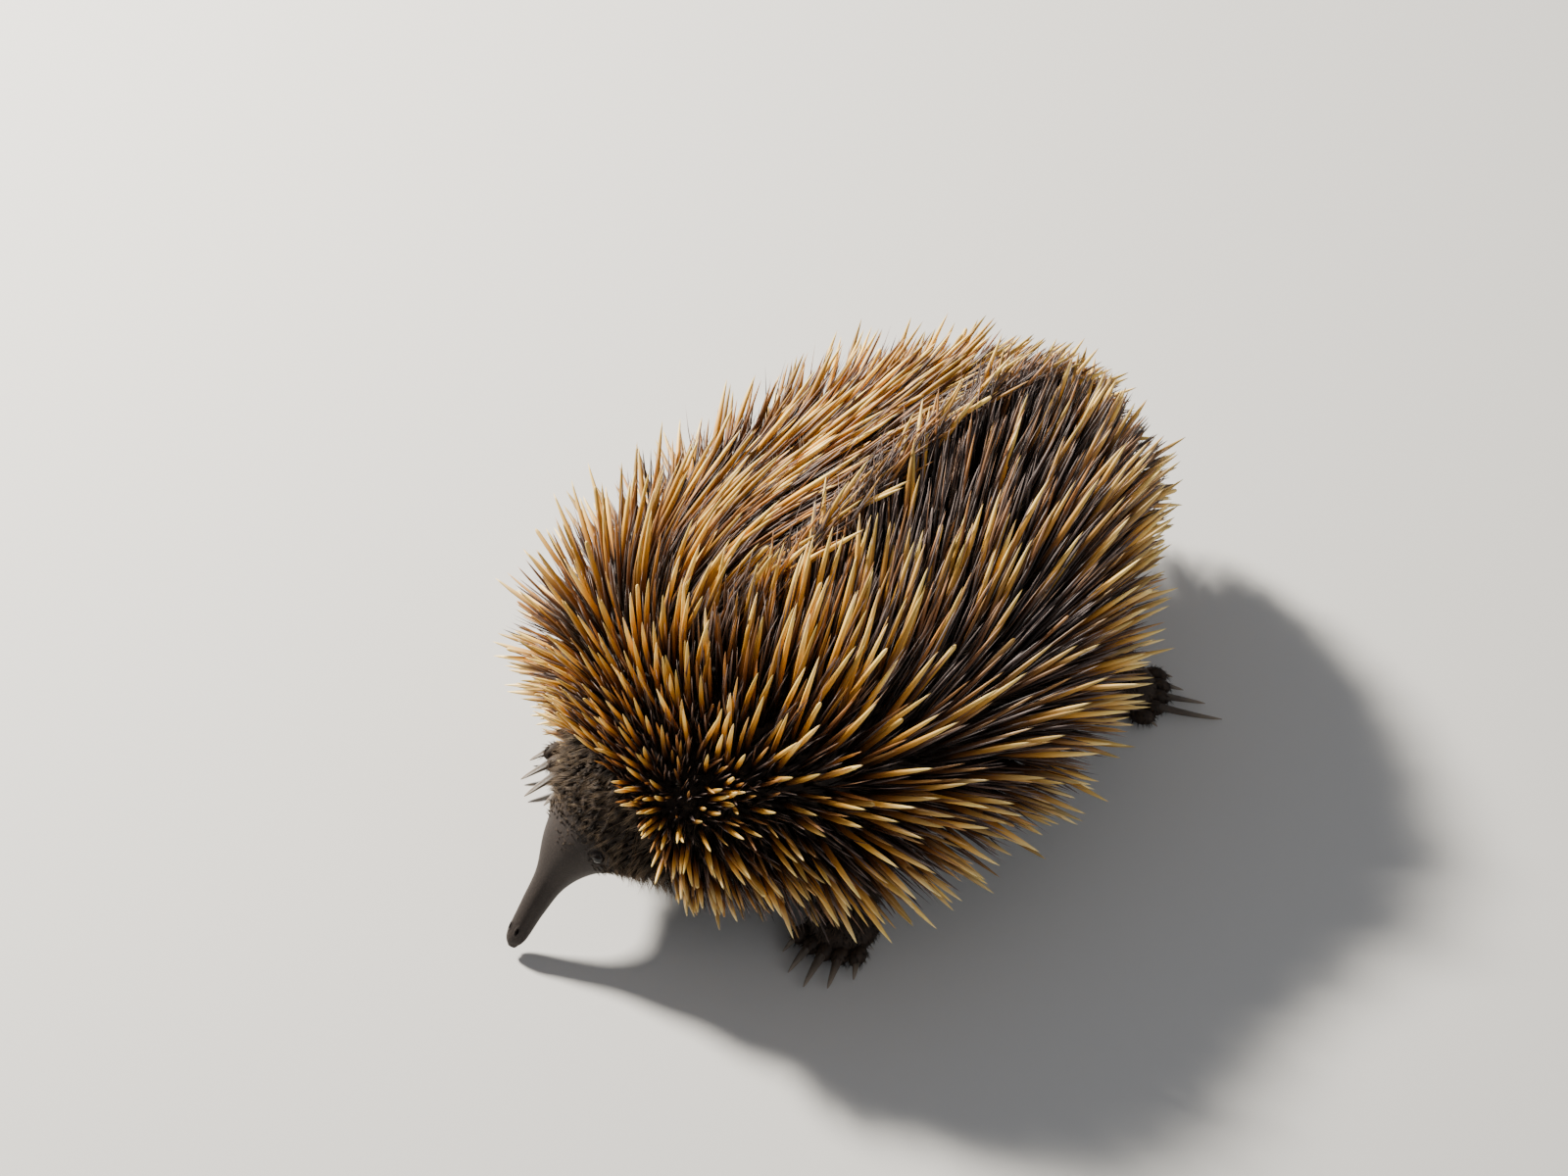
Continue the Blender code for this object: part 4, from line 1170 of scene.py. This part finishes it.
t, turn, random = spiny_roots(TRIED, SPINE_SPACING, SPINE_SEED)
angle, along = np.abs(np.degrees(turn)), spline(BODY, t)[:, 1]
by_seam, flank = (1 - smooth(8, 34, angle)) * smooth(-125, -75, along), smooth(60, 95, angle)
# painted shade: the left of the back, which faces away from the main light, gets more thin dark spines
left_back_shade = (turn > 0) * smooth(4, 20, angle) * (1 - smooth(62, 88, angle)) * smooth(-80, -20, along)
front, full_size = 1 - smooth(-95, -45, along), smooth(*RUFF, along)
chance = random.uniform(0, 1, len(t))
stout = 0.33 - 0.22 * by_seam - 0.05 * flank - 0.13 * left_back_shade + 0.09 * front
thin = 0.34 + 0.28 * by_seam + 0.16 * flank + 0.2 * left_back_shade - 0.12 * front
kind = np.select((chance < stout, chance > 1 - thin), (0, 2), 1)
print("stout, middling and thin roots:", np.bincount(kind))

# %% Size and grow the spines
length = spine_length(t, turn) * KINDS[kind, 0] * random.uniform(0.86, 1.07, len(t))
length = (length * (1 - 0.08 * by_seam) + 2) * (1 + 0.05 * (1 - flank) * full_size)
half_width = KINDS[kind, 1] * random.uniform(0.88, 1.1, len(t)) * (0.72 + 0.28 * full_size)
half_width = half_width * (0.88 + 0.12 * flank)
# painted shade: the left of the back is darker in tone as well
tone = KINDS[kind, 2] + random.normal(0, 0.08, len(t)) - 0.14 * left_back_shade
pick = (random.uniform(0, 1, len(t)) < np.where(kind == 0, 0.05, 0.02)).astype(np.int32)
coat = grown(t, turn, random, length, half_width, SPINE_SCATTER, tone, pick, KINDS[kind, 3])
plant("spines", "spine", coat, SPINE_MATERIAL)

# %% [markdown]
# Between the spines stand thinner ones, hardly thicker than bristles and mostly dark. They could
# be a fourth kind of spine, but they are planted on their own, with an independent draw, so that
# they fall into the gaps and fill them with depth. Four sides are enough for so thin a shape.

# %% Grow the thin bristles between the spines
BRISTLE_SPACING, BRISTLE_SCATTER, BRISTLE_BEND, BRISTLE_SEED = 3.6, 0.12, 0.1, 32

t, turn, random = spiny_roots(TRIED, BRISTLE_SPACING, BRISTLE_SEED)
length = spine_length(t, turn) * random.uniform(0.66, 0.98, len(t)) + 2
half_width, tone = random.uniform(0.3, 0.5, len(t)), random.uniform(0, 0.4, len(t))
coat = grown(t, turn, random, length, half_width, BRISTLE_SCATTER, tone,
             np.zeros(len(t), np.int32), bend=BRISTLE_BEND)
plant("bristles", "bristle", coat, SPINE_MATERIAL)

# %% [markdown]
# ## Fur
#
# Between the spines, and everywhere below them, an echidna wears dark brown fur. It is shortest
# on the feet and near the beak, wiry and pale-tipped on the face, where it fans out over the brow,
# and longest under the spines, where it fills the gaps with shadow. A fringe stands round the ear
# slit. No tuft grows on the beak, the soles, the eyes or in the ears. Single hairs would need five
# times as many roots, so each root carries a tuft of five strands that part towards their tips.

# %% Find places on the skin
SAMPLES, FUR_SEED = 260000, 51


def skin_samples(count, seed):
    """Random places on the skin, even by area, and the way out of it at each."""
    random = np.random.default_rng(seed)
    mesh = skin.data
    mesh.calc_loop_triangles()
    total = len(mesh.loop_triangles)
    corners, area, normal = np.empty(total * 3, np.int32), np.empty(total), np.empty(total * 3)
    mesh.loop_triangles.foreach_get("vertices", corners)
    mesh.loop_triangles.foreach_get("area", area)
    mesh.loop_triangles.foreach_get("normal", normal)
    places = np.empty(len(mesh.vertices) * 3)
    mesh.vertices.foreach_get("co", places)
    corners = (places.reshape(-1, 3) / MM - SHIFT)[corners.reshape(-1, 3)]
    chosen = random.choice(total, count, p=area / area.sum())
    a, b = np.sqrt(random.uniform(0, 1, count)), random.uniform(0, 1, count)
    shares = np.stack((1 - a, a * (1 - b), a * b), axis=-1)
    return (corners[chosen] * shares[..., None]).sum(axis=1), normal.reshape(-1, 3)[chosen], random


places, normals, random = skin_samples(SAMPLES, FUR_SEED)
print(len(places), "places, from", places.min(axis=0).round(), "to", places.max(axis=0).round(), "mm")

# %% Find each place's t and turn
def trunk_place(points):
    """The nearest t and turn on the trunk, and how far each point is from it."""
    t = np.interp(points[:, 1], spline(BODY, FINE)[:, 1], FINE)
    for _ in range(4):
        speed = np.linalg.norm(spline(BODY, t + 0.05)[:, :3] - spline(BODY, t - 0.05)[:, :3], axis=-1) / 0.1
        t = np.clip(t + dot(points - spline(BODY, t)[:, :3], axes_at(t)[0])[:, 0] / speed, 0, LAST)
    row, (_, left, up) = spline(BODY, t), axes_at(t)
    across, above = dot(points - row[:, :3], left)[:, 0], dot(points - row[:, :3], up)[:, 0]
    reach = np.where(above > 0, row[:, 4], row[:, 5])
    power = SQUARENESS / 2
    turn = np.arctan2(np.copysign(np.abs(across / row[:, 3]) ** power, across),
                      np.copysign(np.abs(above / reach) ** power, above))
    return t, turn, np.linalg.norm(points - body_at(t, turn, -fur_depth(t)), axis=-1)


def limb_uv(points):
    """Places on the unrolled limbs, one strip for each, beside the trunk."""
    strip = 2 * (points[:, 1] > 0) + (points[:, 0] < 0)
    centre = np.where(points[:, 1:2] > 0, FOOT_PLACES["hind"][:2], FOOT_PLACES["front"][:2])
    centre = centre * np.stack((np.sign(points[:, 0]), np.ones(len(points))), axis=-1)
    angle = np.arctan2(points[:, 1] - centre[:, 1], points[:, 0] - centre[:, 0])
    down = 0.01 + 0.245 * strip + 0.22 * np.clip(points[:, 2] / 60, 0, 1)
    return np.stack((0.68 + 0.30 * (angle / math.tau + 0.5), down, np.zeros(len(points))), axis=-1)


t, turn, off_trunk = trunk_place(places)
print("half of the places are within", round(float(np.median(off_trunk)), 2), "mm of the trunk's rule")

# %% Tell limbs, face and spiny parts apart
limb = (off_trunk > 1.6) & (np.abs(places[:, 0]) > 30)
foot = limb & (places[:, 2] < 15)
face = ~limb & (t < 6.15)
spiny = ~limb & (t > 6.0) & (np.abs(turn) < math.radians(SPINE_EDGE - 4))


def by_part(on_foot, on_limb, on_face, under_spines, elsewhere):
    """A value for each place, chosen by the part of the animal that it is on."""
    return np.select((foot, limb, face, spiny), (on_foot, on_limb, on_face, under_spines), elsewhere)


print("samples: limbs", limb.sum(), "face", face.sum(), "under the spines", spiny.sum())

# %% Leave the beak, soles, eyes and ears bare
bare = ~limb & (t < 4.0 + 0.3 * drift(places, 4.0, 8)[:, 0])
bare |= (places[:, 2] < 2.0) & (normals[:, 2] < 0.3)
near_ear = np.zeros(len(places))
for side in (-1, 1):
    eye = body_at(np.array(EYE_T), np.array(side * EYE_TURN))
    bare |= np.linalg.norm(places - eye, axis=-1) < 4.6
    axes = facing(EAR_T, side * EAR_TURN)
    x, y, z = ((places - body_at(np.array(EAR_T), np.array(side * EAR_TURN))) @ axes.T).T
    oval = np.where(np.abs(z) < EAR_REACH, np.hypot(x / EAR_TALL, y / EAR_WIDE), 9.0)
    bare |= oval < 1.05
    near_ear = np.maximum(near_ear, 1 - smooth(1.1, 2.6, oval))
print("bare places:", bare.sum())

# %% Choose how long the tufts are and where they stand
FACE_STATIONS = (3.9, 4.6, 5.3, 6.1)
EAR_FRINGE, EAR_CLOSER = 3.0, 0.35
face_length = np.interp(t, FACE_STATIONS, (2.4, 5.5, 9.5, 13.0))
face_apart = np.interp(t, FACE_STATIONS, (0.95, 1.3, 1.75, 2.3))
face_strong = np.interp(t, (3.9, 4.8, 6.1), (0.26, 0.48, 0.8))
length = by_part(4.2, 9.5, face_length, 15.0, 12.0) + EAR_FRINGE * near_ear
apart = by_part(1.45, 2.0, face_apart, 4.9, 3.3) * (1 - EAR_CLOSER * near_ear)
strong = by_part(0.36, 0.55, face_strong, 0.95, 0.95)
wanted = np.flatnonzero(~bare)
wanted = wanted[keep_apart(places[wanted], apart[wanted])]
print(len(wanted), "tufts on", len(places), "samples")

# %% Lay the fur along the body
def fur_way():
    """The lie of the fur: to the tail on the body, forward over the brow, down the legs."""
    back, _, _ = axes_at(t)
    brow = smooth(4.3, 5.2, t) * (1 - smooth(math.radians(75), math.radians(120), np.abs(turn)))
    lie = back * np.where(face, 1 - 1.9 * brow, 1.0)[:, None] + np.array((0, 0, -0.25))
    centre = np.where(places[:, 1:2] > 0, FOOT_PLACES["hind"], FOOT_PLACES["front"]) * np.stack(
        (np.sign(places[:, 0]), np.ones(len(t)), np.ones(len(t))), axis=-1)
    outward = (places - centre) * (1, 1, 0)
    outward = outward / (np.linalg.norm(outward, axis=-1, keepdims=True) + 1e-6)
    lie = np.where(limb[:, None], np.array((0, 0, -1.0)) + outward * 0.35, lie)
    lie = lie - normals * dot(lie, normals)
    face_lift = np.interp(t, (4.0, 4.9), (16, 38)) + 14 * brow
    lift = np.radians(by_part(14, 22, face_lift, 48, 24))
    spread_out = random.normal(0, 0.13, places.shape) * (1 + 1.3 * face[:, None])
    spread_out = spread_out + drift(places, 11, 6) * 0.12
    return unit(unit(lie + 1e-9) * np.cos(lift)[:, None] + normals * np.sin(lift)[:, None] + spread_out)


way = fur_way()
print("rise of a tuft off the skin, on average:", dot(way, normals)[wanted].mean().round(2))

# %% The fur's material
def fur_material():
    """Nearly black at the root, brown to pale at the ends, softer than a spine."""
    material, tree, shader = new_material("echidna_fur", 0.6)
    along, tone, shade = (value_of(tree, name) for name in ("along", "tone", "shade"))
    dark = ramp(tree, along, ((0.0, (0.008, 0.006, 0.005)), (0.5, (0.028, 0.018, 0.012)),
                              (1.0, (0.075, 0.048, 0.03))))
    pale = ramp(tree, along, ((0.0, (0.008, 0.006, 0.004)), (0.5, (0.034, 0.022, 0.013)),
                              (1.0, (0.36, 0.25, 0.15))))
    lit = maths(tree, "MULTIPLY_ADD", shade, 1.0, 0.45)
    colour = add(tree, "ShaderNodeHueSaturation", Color=mix(tree, tone, dark, pale), Value=lit).outputs[0]
    tree.links.new(colour, shader.inputs["Base Color"])
    shader.inputs["Specular IOR Level"].default_value = 0.25
    return material


FUR_MATERIAL = fur_material()
print("fur material has", len(FUR_MATERIAL.node_tree.nodes), "nodes")

# %% Grow the fur
tone = by_part(0.36, 0.36, 0.66, 0.12, 0.32)
tone = tone + 0.2 * near_ear + random.normal(0, 0.12, len(t)) + 0.12 * drift(places, 14, 9)[:, 0]
tone = np.clip(tone, 0, 1)
length = length * random.uniform(0.75, 1.15, len(t))
curl = random.normal(0, 0.13, places.shape) * face[:, None]
curve = (way * (1, 1, 0) * 0.08 + np.array((0, 0, -0.12)) + curl) * length[:, None]
tips = places + way * length[:, None] + curve
wanted = wanted[tips[wanted, 2] > 0.4]
chosen = {"place": places - normals * 0.5, "way": way, "out": normals, "bend": curve * MM,
          "size": np.stack((strong, strong, length + 0.5), axis=-1) * MM,
          "root_uv": np.where(limb[:, None], limb_uv(places), trunk_uv(t, turn)),
          "tone": tone, "shade": random.uniform(0, 1, len(t)), "pale": np.zeros(len(t)),
          "pick": random.integers(0, 4, len(t), dtype=np.int32)}
plant("fur", "tuft", {key: values[wanted] for key, values in chosen.items()}, FUR_MATERIAL)

# %% [markdown]
# The shapes were only patterns for the node tree. What it made of them is real mesh by now, so
# they are removed rather than hidden, and only the pieces of the model stay.

# %% Put the shapes away
for group in SHAPES.values():
    for obj in list(group.objects):
        bpy.data.objects.remove(obj)
    bpy.data.collections.remove(group)

# %% [markdown]
# ## Floor, light and camera
#
# The model stands on a plain pale floor. The main light comes from the upper left and from behind,
# as in the picture, and is small enough to draw each spine's shadow. A wide weak one
# and the pale surroundings light the shaded flank. The camera looks down steeply from the
# animal's front left. Lights and camera are placed from the same two directions, so that the light
# falls on the side that the picture shows lit.

# %% The floor
def flat_material(name, colour, roughness):
    material, _, shader = new_material(name, roughness)
    shader.inputs["Base Color"].default_value = (*colour, 1)
    return material


floor_mesh = bpy.data.meshes.new("floor")
floor_mesh.from_pydata([(-25, -25, 0), (25, -25, 0), (25, 25, 0), (-25, 25, 0)], [], [(0, 1, 2, 3)])
floor = in_scene("floor", floor_mesh)
floor_mesh.materials.append(flat_material("pale_floor", (0.62, 0.61, 0.59), 0.85))
print("floor has", len(floor_mesh.vertices), "corners")

# %% Which way the camera looks
AZIMUTH, ELEVATION, DISTANCE, LENS = math.radians(42), math.radians(45), 2.3, 119.0
OFF_RIGHT, OFF_UP = -34.8, 62.6
back = Vector((math.sin(AZIMUTH) * math.cos(ELEVATION), -math.cos(AZIMUTH) * math.cos(ELEVATION),
               math.sin(ELEVATION)))
right = Vector((math.cos(AZIMUTH), math.sin(AZIMUTH), 0.0))
up = back.cross(right)
print("from the animal to the camera:", [round(v, 2) for v in back])

# %% The lights
def area_light(name, where, size, power, colour):
    light = bpy.data.lights.new(name, "AREA")
    light.shape, light.size, light.energy, light.color = "DISK", size, power, colour
    obj = in_scene(name, light)
    obj.location = where
    obj.rotation_euler = (Vector((0, 0, 0.05)) - where).to_track_quat("-Z", "Y").to_euler()


KEY_SIZE, KEY_POWER, FILL_SIZE, FILL_POWER, SURROUND = 0.32, 172, 1.6, 8, 0.24
level = Vector((back.x, back.y, 0)).normalized()
key_place = right * -1.25 - level * 1.05 + Vector((0, 0, 1.35))
fill_place = right * 1.3 + level * 1.2 + Vector((0, 0, 1.0))
area_light("key", key_place, KEY_SIZE, KEY_POWER, (1.0, 0.95, 0.86))
area_light("fill", fill_place, FILL_SIZE, FILL_POWER, (0.93, 0.96, 1.0))
world = bpy.data.worlds.new("studio")
bpy.context.scene.world = world
world.use_nodes = True
surround = world.node_tree.nodes["Background"]
surround.inputs["Color"].default_value = (0.9, 0.93, 1.0, 1)
surround.inputs["Strength"].default_value = SURROUND
print("key and fill lights placed")

# %% Camera at the photograph's angle
camera_data = bpy.data.cameras.new("camera")
camera_data.lens, camera_data.sensor_width = LENS, 36.0
camera_data.clip_start, camera_data.clip_end = 0.05, 30
camera = in_scene("camera", camera_data)
bpy.context.scene.camera = camera
aim = Vector(SHIFT * MM) + right * OFF_RIGHT * MM + up * OFF_UP * MM
turned = Matrix((right, up, back)).transposed().to_4x4()
camera.matrix_world = Matrix.Translation(aim + back * DISTANCE) @ turned
print("camera at", [round(v, 3) for v in camera.location], "looking at", [round(v, 3) for v in aim])

# %% [markdown]
# ## Finish
#
# Last, the scene is brought up to date. Tips of spines may stand a few
# millimetres proud of the solids, because there are more of them.

# %% Bring the scene up to date
bpy.context.view_layer.update()
